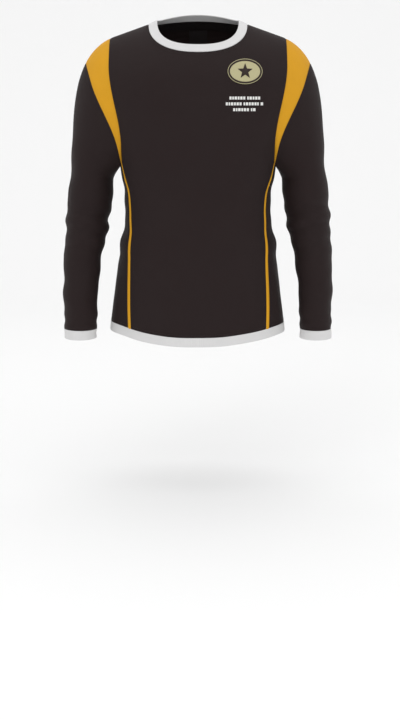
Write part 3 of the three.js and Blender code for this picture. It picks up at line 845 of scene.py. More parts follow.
@dataclass
class Cloth:
    """A closed sheet of even thickness over a grid of points.

    The outer face is the grid moved out along its normals, the inner face is moved in, and strips of
    quads close the rims. Near a seam the sheet dips, as sewn cloth does.
    """

    points: Array  # (rows, columns, 3); column x row faces out of the shirt
    closed: bool = False
    thick: float = 0.8
    lift: float = 0.0
    tuck: Tuck = field(default_factory=Tuck)
    normals: Array | None = None

    def area(self) -> float:
        """Area of the middle of the sheet, in square metres."""
        grid = self.points
        if self.closed:
            grid = np.concatenate([grid, grid[:, :1]], axis=1)
        first = np.cross(grid[1:, 1:] - grid[:-1, :-1], grid[1:, :-1] - grid[:-1, 1:])
        return float(np.linalg.norm(first, axis=-1).sum() / 2) * MM * MM

    def cut(self) -> tuple[float, float]:
        """Width and length of the flat cut in metres: the longest row and the longest column.

        Returns:
            Width and length.
        """
        grid = self.points
        if self.closed:
            grid = np.concatenate([grid, grid[:, :1]], axis=1)
        width = arc_lengths(grid, 1)[:, -1].max()
        return float(width) * MM, float(arc_lengths(grid, 0)[-1].max()) * MM

    def solid(self) -> Solid:
        """Makes the sheet's two faces and its rims.

        Returns:
            The closed solid.
        """
        rows, columns = self.points.shape[:2]
        normals = grid_normals(self.points, self.closed) if self.normals is None else self.normals
        v, u = arc_lengths(self.points, 0), arc_lengths(self.points, 1)
        aside = np.full_like(u, 1e3) if self.closed else np.minimum(u, u[:, -1:] - u)
        gaps = ((self.tuck.bottom, v), (self.tuck.top, v[-1:] - v), (self.tuck.sides, aside))
        dip = sum(depth * np.exp(-((gap / self.tuck.reach) ** 2)) for depth, gap in gaps)
        middle = self.points + normals * (self.lift - dip)[..., None]
        shading = grid_normals(middle, self.closed)
        if self.normals is not None:
            ends = [row for row, depth in ((0, self.tuck.bottom), (-1, self.tuck.top)) if depth == 0]
            shading[ends] = normals[ends]
        outer = (middle + normals * self.thick / 2).reshape(-1, 3)
        inner = (middle - normals * self.thick / 2).reshape(-1, 3)
        u = u - u[:, columns // 2 : columns // 2 + 1]
        uvs = np.stack([u, v], axis=-1).reshape(-1, 2) * MM
        # Closeness to a seam: the finishes paint shade into the seam's valley from it.
        rim = sum((depth > 0) * np.exp(-gap / 2.5) for depth, gap in gaps).ravel()
        shading = shading.reshape(-1, 3)
        made = Solid(np.concatenate([outer, inner]), self.faces(rows, columns))
        made.uvs = np.concatenate([uvs, uvs])
        made.normals = np.concatenate([shading, -shading])
        made.rim = np.clip(np.concatenate([rim, rim]), 0, 1)
        if self.closed:
            around = np.concatenate([self.points, self.points[:, :1]], axis=1)
            girth = np.repeat(arc_lengths(around, 1)[:, -1], columns) * MM
            made.period = np.concatenate([girth, girth])
        return made

    def faces(self, rows: int, columns: int) -> list[Array]:
        """Quads of the outer face, the inner face and the rims.

        Args:
            rows: number of rows.
            columns: number of columns.

        Returns:
            Blocks of quads.
        """
        quads = grid_quads(rows, columns, self.closed)
        count = rows * columns
        index = np.arange(count).reshape(rows, columns)
        rims = [(index[0], False), (index[-1], True)]
        if not self.closed:
            rims += [(index[:, 0], True), (index[:, -1], False)]
        blocks = [quads, quads[:, ::-1] + count]
        for rim, turned in rims:
            a, b = rim, np.roll(rim, -1)
            if not self.closed:
                a, b = a[:-1], b[:-1]
            strip = np.stack([a, a + count, b + count, b], axis=-1)
            blocks.append(strip[:, ::-1] if turned else strip)
        return blocks

    def made(self, name: str) -> bpy.types.Object:
        """The sheet as an object."""
        return self.solid().made(name)


@dataclass(frozen=True)
class Band:
    """A doubled rib band with round folded edges, all the way round a loop.

    Its section is a rounded strip: up the outer face, over the top edge in a half circle, down the
    inner face and round the bottom edge; it is carried round the loop.
    """

    surface: Surface  # point by turn (0 to 1) and height share (0 to 1, and a little beyond)
    columns: int
    height: float = CUT.band
    thick: float = 2.2

    def sheet(self) -> Cloth:
        """The band's middle, for its flat size."""
        turn, share = np.meshgrid(np.arange(self.columns) / self.columns, np.linspace(0, 1, 5))
        return Cloth(self.surface(turn, share), closed=True)

    def made(self, name: str) -> bpy.types.Object:
        """Makes the band.

        Args:
            name: the piece's name.

        Returns:
            The object.
        """
        edge = self.thick / 2 / self.height
        arc = np.linspace(0, math.pi, 7)[1:-1]
        face = np.linspace(edge, 1 - edge, 9)
        top, bottom = 1 - edge + edge * np.sin(arc), edge - edge * np.sin(arc)
        share = np.concatenate([face, top, face[::-1], bottom])
        off = [np.full(9, 0.5), 0.5 * np.cos(arc), np.full(9, -0.5), -0.5 * np.cos(arc)]
        turn, share = np.meshgrid(np.arange(self.columns) / self.columns, share)
        out = surface_normals(self.surface, turn, share, 2e-3)
        points = self.surface(turn, share) + out * (np.concatenate(off) * self.thick)[:, None, None]
        rows = len(share)
        quads = grid_quads(rows + 1, self.columns, True) % (rows * self.columns)
        girth = self.sheet().cut()[0]
        uvs = np.stack([turn * girth, share * self.height * MM], axis=-1).reshape(-1, 2)
        made = Solid(points.reshape(-1, 3), [quads], uvs, np.full(rows * self.columns, girth))
        return made.made(name)


@dataclass(frozen=True)
class Stitch:
    """A row of sewn stitches: each is a short six-sided bead of thread with tapered ends."""

    pitch: float = 3.4
    length: float = 2.7
    radius: float = 0.42
    lift: float = 0.35

    def row(self, path: Array, outwards: Array, closed: bool = True) -> Solid:
        """Beads laid evenly along a path.

        Each bead is a unit template, stretched along the path's tangent at its own place.

        Args:
            path: points in millimetres.
            outwards: unit normals of the cloth at the points.
            closed: whether the path joins its own start.

        Returns:
            The beads.
        """
        if closed:
            path = np.concatenate([path, path[:1]])
            outwards = np.concatenate([outwards, outwards[:1]])
        run = arc_lengths(path, 0)
        count = max(1, int(run[-1] / self.pitch))
        where = (np.arange(count) + 0.5) * run[-1] / count
        at = np.stack([np.interp(where, run, path[:, k]) for k in range(3)], axis=-1)
        out = unit(np.stack([np.interp(where, run, outwards[:, k]) for k in range(3)], axis=-1))
        ahead = np.stack([np.interp(where + 0.5, run, path[:, k]) for k in range(3)], axis=-1)
        behind = np.stack([np.interp(where - 0.5, run, path[:, k]) for k in range(3)], axis=-1)
        along = unit(ahead - behind)
        side = np.cross(along, out)
        sides = 6
        angle = TURN * np.arange(sides) / sides
        stations = np.array([-0.5, -0.32, 0.32, 0.5])[:, None] * self.length
        girth = np.array([0.35, 1, 1, 0.35])[:, None] * self.radius
        x = np.broadcast_to(stations, (4, sides)).ravel()
        y = (girth * np.cos(angle)).ravel()
        z = (girth * np.sin(angle)).ravel() + self.lift
        verts = (
            at[:, None]
            + along[:, None] * x[None, :, None]
            + side[:, None] * y[None, :, None]
            + out[:, None] * z[None, :, None]
        )
        tube = grid_quads(4, sides, True)
        caps = np.stack([np.arange(sides), np.arange(sides)[::-1] + 3 * sides])
        shift = (np.arange(count) * 4 * sides)[:, None, None]
        quads = (tube[None] + shift).reshape(-1, 4)[:, ::-1]
        ends = (caps[None] + shift).reshape(-1, sides)
        return Solid(verts.reshape(-1, 3), [quads, ends])


# ---- Finishes --------------------------------------------------------------------------------------
class Wire:
    """A shader value on which Python's arithmetic adds Math nodes."""

    def __init__(self, graph: "Graph", socket: bpy.types.NodeSocket) -> None:
        """Wraps an output socket."""
        self.graph = graph
        self.socket = socket

    def _math(self, operation: str, first: "Wire | float", second: "Wire | float" = 0.0) -> "Wire":
        """A Math node's result."""
        node = self.graph.node("ShaderNodeMath", {"operation": operation}, {0: first, 1: second})
        return Wire(self.graph, node.outputs[0])

    def __add__(self, other: "Wire | float") -> "Wire":
        """Sum."""
        return self._math("ADD", self, other)

    def __radd__(self, other: float) -> "Wire":
        """Sum with a number first."""
        return self._math("ADD", other, self)

    def __sub__(self, other: "Wire | float") -> "Wire":
        """Difference."""
        return self._math("SUBTRACT", self, other)

    def __rsub__(self, other: float) -> "Wire":
        """Difference from a number."""
        return self._math("SUBTRACT", other, self)

    def __mul__(self, other: "Wire | float") -> "Wire":
        """Product."""
        return self._math("MULTIPLY", self, other)

    def __rmul__(self, other: float) -> "Wire":
        """Product with a number first."""
        return self._math("MULTIPLY", other, self)

    def sine(self) -> "Wire":
        """Sine of the value in radians."""
        return self._math("SINE", self)

    def size(self) -> "Wire":
        """Absolute value."""
        return self._math("ABSOLUTE", self)


class Graph:
    """One material's node tree."""

    def __init__(self, name: str) -> None:
        """Starts an empty tree with an output node."""
        self.material = bpy.data.materials.new(name)
        self.material.use_nodes = True
        self.tree = self.material.node_tree
        self.tree.nodes.clear()
        self.surface = self.tree.nodes.new("ShaderNodeOutputMaterial").inputs["Surface"]

    def node(self, kind: str, settings: dict[str, object], sockets: dict[object, object]) -> bpy.types.Node:
        """Adds a node.

        Args:
            kind: the node's type.
            settings: properties, set first.
            sockets: values, or wires to link, by input name or number.

        Returns:
            The node.
        """
        node = self.tree.nodes.new(kind)
        for key, value in settings.items():
            setattr(node, key, value)
        for key, value in sockets.items():
            if isinstance(value, Wire):
                self.tree.links.new(value.socket, node.inputs[key])
            else:
                node.inputs[key].default_value = value
        return node

    def wire(self, node: bpy.types.Node, output: str | int) -> Wire:
        """One of a node's outputs."""
        return Wire(self, node.outputs[output])

    def place(self) -> Wire:
        """Object coordinates."""
        return self.wire(self.node("ShaderNodeTexCoord", {}, {}), "Object")

    def parts(self, vector: Wire) -> tuple[Wire, Wire, Wire]:
        """X, Y and Z of a vector."""
        node = self.node("ShaderNodeSeparateXYZ", {}, {0: vector})
        return self.wire(node, 0), self.wire(node, 1), self.wire(node, 2)

    def noise(self, scale: float, detail: float, vector: Wire | None = None) -> Wire:
        """Fractal noise from about 0.3 to 0.7, over Object coordinates unless told otherwise."""
        node = self.node(
            "ShaderNodeTexNoise", {}, {"Vector": vector or self.place(), "Scale": scale, "Detail": detail}
        )
        return self.wire(node, 0)

    def blend(self, factor: Wire, first: object, second: object) -> Wire:
        """Mix of two colours."""
        node = self.node("ShaderNodeMix", {"data_type": "RGBA"}, {0: factor, 6: first, 7: second})
        return self.wire(node, 2)

    def darker(self, colour: Wire, factor: float) -> Wire:
        """A wired colour made darker by a multiply mix."""
        grey = (factor, factor, factor, 1.0)
        settings = {"data_type": "RGBA", "blend_type": "MULTIPLY"}
        return self.wire(self.node("ShaderNodeMix", settings, {0: 1.0, 6: colour, 7: grey}), 2)

    def bump(self, height: Wire, distance: float, strength: float, under: Wire | None = None) -> Wire:
        """A Bump node, over another bump where one is given."""
        sockets: dict[object, object] = {"Height": height, "Distance": distance, "Strength": strength}
        if under is not None:
            sockets["Normal"] = under
        return self.wire(self.node("ShaderNodeBump", {}, sockets), 0)


Colour = tuple[float, float, float]


def shade(colour: Colour, factor: float) -> tuple[float, float, float, float]:
    """A colour made lighter or darker, with full alpha."""
    r, g, b = (min(1.0, c * factor) for c in colour)
    return (r, g, b, 1.0)


class Pattern(Enum):
    """How a cloth or thread is built up."""

    JERSEY = "loops in fine columns"
    RIB = "one-by-one rib"
    TWILL = "slanted lines"
    SATIN = "close parallel threads"
    FILM = "smooth film"
    PLY = "twisted thread"


@dataclass(frozen=True)
class Finish:
    """A cloth, thread or film with its colour, pattern and wear."""

    slot: str
    colour: Colour
    pattern: Pattern
    pitch: float  # width of one column, line or thread, in metres
    relief: float  # height of the pattern, in metres
    roughness: float = 0.75
    sheen: float = 0.0
    sheen_roughness: float = 0.45
    mottle: float = 0.07  # how much the dye varies
    painted_seam_shade: float = 0.35  # how much painted shade darkens a seam's valley
    specular: float = 0.22

    def height(self, g: Graph) -> Wire:
        """The pattern's relief, from 0 to 1.

        Jersey: columns of loops, |sin| across times a wave along that leans with the column. Rib:
        a sine across. Twill: a sine along the diagonal. Satin and ply: a sine along one direction.

        Args:
            g: the material's graph.

        Returns:
            The relief.
        """
        uv = g.wire(g.node("ShaderNodeUVMap", {"uv_map": "cloth"}, {}), 0)
        u, v, _ = g.parts(uv)
        x, _, z = g.parts(g.place())
        beat = math.pi / self.pitch
        if self.pattern is Pattern.JERSEY:
            column = (u * beat).sine().size()
            return column * (0.7 + 0.3 * (v * (2.6 * beat) + column * 2.4).sine())
        if self.pattern is Pattern.RIB:
            rib = 0.5 + 0.5 * (u * (2 * beat)).sine()
            return rib * (0.85 + 0.15 * (v * (3.4 * beat)).sine())
        if self.pattern is Pattern.TWILL:
            return 0.5 + 0.5 * ((x + z) * (2 * beat)).sine()
        if self.pattern is Pattern.SATIN:
            return 0.5 + 0.5 * ((x * 0.94 + z * 0.34) * (2 * beat)).sine()
        if self.pattern is Pattern.PLY:
            return 0.5 + 0.5 * ((x + z * 0.8) * (2 * beat)).sine()
        return g.noise(900.0, 2.0)

    def material(self) -> bpy.types.Material:
        """Builds the shader: mottled dye, yarn tone with painted shade in the knit's low places, painted
        shade in the seam valleys, worn high spots, knit relief, sheen.

        Returns:
            The material.
        """
        g = Graph(self.slot)
        cloud = g.noise(11.0, 3.0)
        yarn = g.noise(1400.0, 1.0)
        relief = self.height(g)
        dyed = g.blend(cloud, shade(self.colour, 1 - self.mottle), shade(self.colour, 1 + self.mottle))
        # Random yarn tone, plus painted shade: the knit's low places are drawn darker.
        yarn_tone_and_painted_knit_shade = g.blend(yarn * 0.35 + relief * 0.3, g.darker(dyed, 0.82), dyed)
        rim = g.wire(g.node("ShaderNodeAttribute", {"attribute_name": "rim"}, {}), "Fac")
        # Painted shade: the cloth is drawn darker where it dips into a seam, by the rim attribute.
        with_painted_seam_shade = g.blend(rim * self.painted_seam_shade, yarn_tone_and_painted_knit_shade, shade(self.colour, 0.45))
        rubbed = g.noise(46.0, 4.0) * 0.12 - 0.04
        colour = g.blend(rubbed, with_painted_seam_shade, shade(self.colour, 1.35))
        creased = g.bump(g.noise(38.0, 4.0), 0.0011, 0.35)
        knitted = g.bump(relief, self.relief, 0.6, creased)
        rough = self.roughness - 0.06 + cloud * 0.12
        shader = g.node(
            "ShaderNodeBsdfPrincipled",
            {},
            {
                "Base Color": colour,
                "Roughness": rough,
                "Normal": knitted,
                "Sheen Weight": self.sheen,
                "Sheen Roughness": self.sheen_roughness,
                "Specular IOR Level": self.specular,
            },
        )
        g.tree.links.new(shader.outputs[0], g.surface)
        return g.material


class Finishes:
    """Every finish of the shirt, built once."""

    DARK = Finish("body_knit", (0.0155, 0.0077, 0.0077), Pattern.JERSEY, 0.0011, 0.0002, sheen=0.03)
    GOLD = Finish("accent_knit", (0.71, 0.345, 0.012), Pattern.JERSEY, 0.0011, 0.0002, sheen=0.02)
    RIB = Finish("rib_knit", (0.74, 0.735, 0.735), Pattern.RIB, 0.0022, 0.0005, 0.8, mottle=0.03)
    TAPE = Finish("neck_tape", (0.012, 0.008, 0.008), Pattern.TWILL, 0.0012, 0.0002, sheen=0.02)
    LABEL = Finish("label_satin", (0.016, 0.012, 0.012), Pattern.SATIN, 0.0004, 0.0001, 0.5)
    TWILL = Finish("badge_twill", (0.53, 0.49, 0.28), Pattern.TWILL, 0.0011, 0.0003, 0.6)
    EMBROIDERY = Finish("badge_thread", (0.03, 0.018, 0.014), Pattern.SATIN, 0.0006, 0.0003, 0.42)
    FILM = Finish("print_film", (0.84, 0.84, 0.82), Pattern.FILM, 0.001, 0.00005, 0.5)
    THREAD = Finish("sewing_thread", (0.02, 0.012, 0.012), Pattern.PLY, 0.0006, 0.0001, 0.5)

    def __init__(self) -> None:
        """Starts with no material built."""
        self.built: dict[str, bpy.types.Material] = {}

    def dress(self, obj: bpy.types.Object, finish: Finish) -> bpy.types.Object:
        """Gives a piece its finish and names its slot.

        Args:
            obj: the piece.
            finish: its finish.

        Returns:
            The same piece.
        """
        if finish.slot not in self.built:
            self.built[finish.slot] = finish.material()
        obj.data.materials.append(self.built[finish.slot])
        return obj


# ---- Fitting pieces to the frame -------------------------------------------------------------------
@dataclass
class Fitter:
    finishes: Finishes = field(default_factory=Finishes)

    def fit(
        self, obj: bpy.types.Object, finish: Finish, nodes: Sequence[str] = (), body: str = "torso"
    ) -> bpy.types.Object:
        """Gives a piece its finish and its body.

        Args:
            obj: the piece.
            finish: its finish.
            nodes: the frame's nodes that it stands for.
            body: the frame's body that it rides on.

        Returns:
            The same piece.
        """
        self.finishes.dress(obj, finish)
        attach(obj, body)
        if nodes:
            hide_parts(*nodes)
        return obj

    def declare(self, obj: bpy.types.Object, cloth: Cloth, rests_on: Sequence[str]) -> bpy.types.Object:
        """States the flat size that a cloth piece was cut to.

        Args:
            obj: the piece.
            cloth: the sheet that it was made from.
            rests_on: the pieces that hold it; not used.

        Returns:
            The same piece.
        """
        width, length = cloth.cut()
        width = max(width, 0.01)  # a narrower strip is cut this wide, for its seam allowance
        area = min(cloth.area(), width * length)
        log.info("%s cut %.3f x %.3f m, %.4f m2", obj.name, width, length, area)
        return obj


def turned_over(grid: Array, arm: Arm) -> Array:
    """Angles of a grid for the given arm: the right's are negative and run the other way."""
    return grid if arm is Arm.LEFT else -grid[:, ::-1]


# ---- Body ------------------------------------------------------------------------------------------
@dataclass
class BodyPanels:
    """Front, back and side panels, and the pipings between them."""

    fitter: Fitter
    columns: int = 84
    lower_rows: int = 84
    upper_rows: int = 66
    neck_part: float = 0.6  # share of the half panel's columns that end at the neck seam

    def panel(self, side: Side) -> Cloth:
        """Front or back panel: columns spread by their place on the top edge, rows from the hem up.

        Args:
            side: front or back.

        Returns:
            The sheet.
        """
        across = 2 * tight_ends(self.columns, (0.002, 0.004, 0.0065)) - 1
        edge = float(BODY.panel_edge(np.array(CUT.ridge_z), side))
        to_neck = CUT.neck * np.sin(math.pi / 2 * np.minimum(np.abs(across) / self.neck_part, 1))
        outer = np.maximum(0, np.abs(across) - self.neck_part) / (1 - self.neck_part)
        top_x = mix(to_neck, edge, outer)
        share = top_x / edge
        facing = np.full_like(share, side.value)
        bottom = BODY.hem_edge(lambda z: share * BODY.panel_edge(z, side), facing, CUT.cloth_end)
        top = np.where(top_x < CUT.neck, BODY.neck_level(top_x, facing), CUT.shoulder_line(top_x))
        lower = tight_ends(self.lower_rows, (0.003, 0.006))[:, None]
        rise = (1 - np.cos(math.pi * np.linspace(0, 1, self.upper_rows + 1)[1:, None])) / 2
        z = np.concatenate([mix(bottom, CUT.armpit_z, lower), CUT.armpit_z + (top - CUT.armpit_z) * rise])
        x = -side.value * np.sign(across) * share * BODY.panel_edge(z, side)
        return Cloth(BODY.skin(x, z, side.value), tuck=Tuck(0.2, 0.35, 0.45))

    def side_panel(self, arm: Arm) -> Cloth:
        """Side panel between its two pipings.

        Args:
            arm: left or right.

        Returns:
            The sheet.
        """
        u, t = np.meshgrid(tight_ends(44, (0.008, 0.018)), tight_ends(84, (0.003, 0.006)))

        def angle_at(z: Array) -> Array:
            """Angle of each column at a level."""
            clear = BODY.piping_half(z) + CUT.seam
            front = BODY.further(BODY.seam_curve[Side.FRONT](z), z, clear)
            back = BODY.further(BODY.seam_curve[Side.BACK](z), z, -clear)
            return mix(front, back, u)

        facing = np.where(u < 0.5, -1.0, 1.0)
        for _ in range(4):
            bottom = BODY.hem_edge(
                lambda z: BODY.smooth_at(angle_at(z), z)[..., 0], facing, CUT.cloth_end
            )
            facing = side_of(angle_at(bottom))
        z = mix(bottom, CUT.armpit_z, t)
        angle = turned_over(angle_at(z), arm)
        z = z if arm is Arm.LEFT else z[:, ::-1]
        return Cloth(BODY.skin_at(angle, z), tuck=Tuck(0.2, 0.35, 0.45))

    def piping(self, arm: Arm, side: Side) -> Cloth:
        """Narrow folded strip that lies over a side seam: its middle stands a little proud.

        Args:
            arm: left or right.
            side: front or back.

        Returns:
            The sheet.
        """
        u, t = np.meshgrid(np.linspace(-1, 1, 9), np.linspace(0, 1, 100))

        def angle_at(z: Array) -> Array:
            """Angle of each column at a level."""
            return BODY.further(BODY.seam_curve[side](z), z, u * BODY.piping_half(z))

        facing = np.full_like(u, side.value)
        bottom = BODY.hem_edge(
            lambda z: BODY.smooth_at(angle_at(z), z)[..., 0], facing, CUT.cloth_end
        )
        z = mix(bottom, CUT.armpit_z, t)
        angle = turned_over(angle_at(z), arm)
        z = z if arm is Arm.LEFT else z[:, ::-1]
        points = BODY.skin_at(angle, z)
        crown = 0.7 * (1 - u**2) + 0.15 * np.sin(t * 700.0) * (1 - u**2)
        return Cloth(points + grid_normals(points, False) * crown[..., None], tuck=FLAT)

    def build(self) -> None:
        """Makes, dresses and declares every body panel."""
        for side in Side:
            word = side.name.lower()
            other = "back" if side is Side.FRONT else "front"
            cloth = self.panel(side)
            obj = self.fitter.fit(cloth.made(f"{word}_panel"), Finishes.DARK, [f"{word}_body_panel"])
            self.fitter.declare(obj, cloth, [f"{other}_panel", "left_insert", "right_insert"])
        for arm in Arm:
            cloth = self.side_panel(arm)
            name = f"{arm.word}_side"
            obj = self.fitter.fit(cloth.made(name), Finishes.DARK, [f"{arm.word}_side_panel"])
            self.fitter.declare(obj, cloth, [f"{name}_front_piping", f"{name}_back_piping"])
            for side in Side:
                word = side.name.lower()
                cloth = self.piping(arm, side)
                nodes = [f"{arm.word}_{word}_piping"]
                obj = self.fitter.fit(cloth.made(f"{name}_{word}_piping"), Finishes.GOLD, nodes)
                self.fitter.declare(obj, cloth, [f"{word}_panel"])


# ---- Sleeves ---------------------------------------------------------------------------------------
@dataclass
class Sleeve:
    """One sleeve: insert, upper and lower cloth that share one surface, cuff band and stitches."""

    fitter: Fitter
    arm: Arm
    columns: int = 112
    rows: int = 88
    split_z: float = -405.5  # level where the upper cloth hands over to the lower
    shoulder_x: float = 0.2  # where the shoulder's bend is measured, in metres, as the four below
    shoulder_z: float = -0.1
    elbow_x: float = 0.258
    elbow_y: float = -0.03
    elbow_end_z: float = -0.4816

    @property
    def form(self) -> SleeveForm:
        """The sleeve's surface."""
        return SLEEVES[self.arm]

    def insert(self) -> Cloth:
        """The contrast crescent between the armhole and the sleeve, pointed at the underarm.

        Returns:
            The sheet.
        """
        turn, share = np.meshgrid(np.linspace(0.004, 0.996, 150), tight_ends(18, (0.02, 0.045)))
        return Cloth(
            self.form.skin(turn, self.form.insert_end(turn) * (1 - share)), tuck=Tuck(0.4, 0.4, 0)
        )

    def halves(self) -> tuple[Cloth, Cloth]:
        """Lower and upper cloth, cut from one grid so that they meet without a mark.

        Returns:
            The lower and the upper sheet.
        """
        form = self.form
        turn = (np.arange(self.columns) / self.columns)[None, :]
        low, split = form.run_at(CUT.cuff_z + CUT.cloth_end), form.run_at(self.split_z)
        lower = mix(low, split, tight_ends(self.rows, (0.004, 0.008))[:-1, None]) + 0 * turn
        upper = mix(split, form.insert_end(turn), tight_ends(self.rows, (0.004, 0.009))[:, None])
        points = form.skin(turn, np.concatenate([lower, upper]))
        normals = grid_normals(points, True)
        at = len(lower)
        parts = (slice(0, at + 1), Tuck(0.3, 0, 0)), (slice(at, None), Tuck(0, 0.4, 0))
        made = [Cloth(points[s], True, tuck=tuck, normals=normals[s]) for s, tuck in parts]
        return made[0], made[1]

    def loop(self, run: Callable[[Array], Array]) -> tuple[Array, Array]:
        """A closed path round the arm.

        Args:
            run: the run by the turn.

        Returns:
            The points and the cloth's normals along them.
        """
        turn = np.arange(360) / 360
        path = self.form.skin(turn, run(turn))
        normals = surface_normals(self.form.skin, turn, run(turn), 1e-3)
        return path, normals

    def build(self) -> None:
        """Makes and dresses every piece of the sleeve, declares its cloth pieces, and ties the insert, cuff
        and stitches to their bodies.
        """
        word, form = self.arm.word, self.form
        upper_arm, forearm = f"{word}_upper_arm", f"{word}_forearm"
        crescent = self.insert()
        obj = self.fitter.fit(
            crescent.made(f"{word}_insert"), Finishes.GOLD, [f"{word}_shoulder_insert"]
        )
        self.fitter.declare(obj, crescent, ["front_panel", "back_panel"])
        lower, upper = self.halves()

        top = self.fitter.finishes.dress(upper.made(f"{word}_sleeve_upper"), Finishes.DARK)
        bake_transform(top)
        down = arc_lengths(upper.points[::-1], 0)[::-1]
        weight = ease(down / down[:1] / 0.9).ravel().astype(np.float32)
        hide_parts(f"{word}_sleeve_head", f"{word}_upper_sleeve")
        self.fitter.declare(top, upper, [f"{word}_insert"])

        rest = self.fitter.finishes.dress(lower.made(f"{word}_sleeve_lower"), Finishes.DARK)
        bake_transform(rest)
        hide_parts(f"{word}_elbow_sleeve", f"{word}_forearm_sleeve")
        self.fitter.declare(rest, lower, [f"{word}_sleeve_upper"])

        cuff = Band(lambda t, s: form.skin(t, form.run_at(CUT.cuff_z + CUT.band * s)), 132)
        obj = self.fitter.fit(cuff.made(f"{word}_cuff"), Finishes.RIB, [f"{word}_cuff_band"], forearm)
        self.fitter.declare(obj, cuff.sheet(), [f"{word}_sleeve_lower"])
        rows = [self.loop(lambda t, h=h: form.run_at(CUT.cuff_z + CUT.band + h + 0 * t)) for h in (3, 6)]
        stitches = Solid.gathered([Stitch().row(*row) for row in rows])
        self.fitter.fit(
            stitches.made(f"{word}_cuff_stitches"), Finishes.THREAD, [f"{word}_cuff_stitching"], forearm
        )
        seam = Stitch().row(*self.loop(lambda t: form.insert_end(t) + 0.013))
        self.fitter.fit(seam.made(f"{word}_insert_stitches"), Finishes.THREAD)


# ---- Bands, tape, labels and body stitches ---------------------------------------------------------
@dataclass
class Edges:
    """Collar and hem bands with their stitches, and what is sewn inside the back."""

    fitter: Fitter
    front_rise: float = math.radians(52)
    side_rise: float = math.radians(25)
    back_rise: float = math.radians(40)
    tape_arc: tuple[float, float] = (math.radians(100), math.radians(260))

    @staticmethod
    def spread(turn: Array) -> Array:
        """Angle from centre front at an even share of the neck seam's length.

        The seam runs far for little angle at the sides of the neck, so its length is measured on
        angles that crowd together there.

        Args:
            turn: shares of the way round; whole turns may be added.

        Returns:
            The angles.
        """
        near = TURN / 4 * np.linspace(0, 1, 400) ** 5
        sides = [TURN / 4 - near, TURN / 4 + near, 3 * TURN / 4 - near, 3 * TURN / 4 + near]
        angle = np.unique(np.concatenate(sides))
        length = arc_lengths(BODY.neck_seam(angle), 0)
        whole = np.floor(turn)
        return TURN * whole + np.interp((turn - whole) * length[-1], length, angle)

    def collar(self, turn: Array, share: Array) -> Array:
        """The collar rises steeply at centre front and back and lies flatter on the shoulders.

        Args:
            turn: way round the neck, by length.
            share: 0 at the seam, 1 at the free edge.

        Returns:
            The points.
        """
        angle = self.spread(turn)
        c = np.cos(angle)
        rise = mix(self.side_rise, np.where(c > 0, self.front_rise, self.back_rise), c**2)
        way = stack(-np.sin(angle) * np.cos(rise), c * np.cos(rise), np.sin(rise))
        return BODY.neck_seam(angle) + way * (0.4 + CUT.band * share)[..., None]

    @staticmethod
    def hem(turn: Array, share: Array) -> Array:
        """The hem band hangs on the folded cloth's own line."""
        return BODY.round_hem(TURN * turn, CUT.band * share)

    @staticmethod
    def neck_loop(inset: float) -> tuple[Array, Array]:
        """A closed path round the neck, outside the seam.

        Args:
            inset: distance from the seam.

        Returns:
            The points and the cloth's normals along them.
        """
        angle = Edges.spread(np.arange(480) / 480)
        s, c = np.sin(angle), np.cos(angle)
        side = side_of(angle)
        fall = inset * (np.abs(c) + CUT.shoulder_slope * np.abs(s))
        z = BODY.neck_level(CUT.neck * s, side) - fall
        path = BODY.skin((CUT.neck + inset) * s, z, side)
        ahead = np.roll(path, -1, axis=0) - np.roll(path, 1, axis=0)
        return path, unit(np.cross(ahead, BODY.neck_seam(angle) - path))

    @staticmethod
    def hem_loop(height: float) -> tuple[Array, Array]:
        """A closed path round the body.

        Args:
            height: height above the hem's edge.

        Returns:
            The points and the cloth's normals along them.
        """
        angle = TURN * np.arange(720) / 720
        high = np.full_like(angle, height)
        return BODY.round_hem(angle, high), surface_normals(BODY.round_hem, angle, high, 1e-3)

    def tape(self) -> Cloth:
        """Tape over the seam inside the back neck."""
        u, v = np.meshgrid(np.linspace(*self.tape_arc, 90), np.linspace(15.0, 3.0, 7))
        return Cloth(BODY.neck_seam(u, v), lift=-1.6, thick=0.7, tuck=FLAT)

    @staticmethod
    def neck_label() -> Cloth:
        """Plain woven label inside the back neck."""
        x, z = np.meshgrid(np.linspace(21.0, -21.0, 15), np.linspace(-45.0, -17.0, 11))
        return Cloth(BODY.skin(x, z, 1.0), lift=-2.0, thick=0.6, tuck=FLAT)

    @staticmethod
    def care_label() -> Cloth:
        """Plain care label inside the wearer's left side."""
        middle = CUT.body_level(0.7)
        aside, z = np.meshgrid(np.linspace(-12.0, 12.0, 9), np.linspace(middle - 22.0, middle + 22.0, 13))
        angle = BODY.further(np.full_like(z, math.pi / 2), z, aside)
        return Cloth(BODY.skin_at(angle, z), lift=-2.0, thick=0.6, tuck=FLAT)

    def build(self) -> None:
        for name, surface, columns, held in (
            ("collar", self.collar, 220, ["front_panel", "back_panel"]),
            ("hem", self.hem, 340, ["front_panel", "back_panel"]),
        ):
            band = Band(surface, columns)
            obj = self.fitter.fit(band.made(name), Finishes.RIB, [f"{name}_band"])
            self.fitter.declare(obj, band.sheet(), held)
        for name, cloth, finish, node, held in (
            ("neck_tape", self.tape(), Finishes.TAPE, "back_neck_tape", "collar"),
            ("plain_neck_label", self.neck_label(), Finishes.LABEL, "neck_label", "neck_tape"),
            ("plain_care_label", self.care_label(), Finishes.LABEL, "care_label", "left_side"),
        ):
            obj = self.fitter.fit(cloth.made(name), finish, [node])
            self.fitter.declare(obj, cloth, [held])
        stitch = Stitch()
        neck = Solid.gathered([stitch.row(*self.neck_loop(inset)) for inset in (3.0, 6.0)])
        self.fitter.fit(neck.made("collar_stitches"), Finishes.THREAD, ["collar_stitching"])
        hem = Solid.gathered([stitch.row(*self.hem_loop(CUT.band + rise)) for rise in (3.0, 6.0)])
        self.fitter.fit(hem.made("hem_stitches"), Finishes.THREAD, ["hem_stitching"])


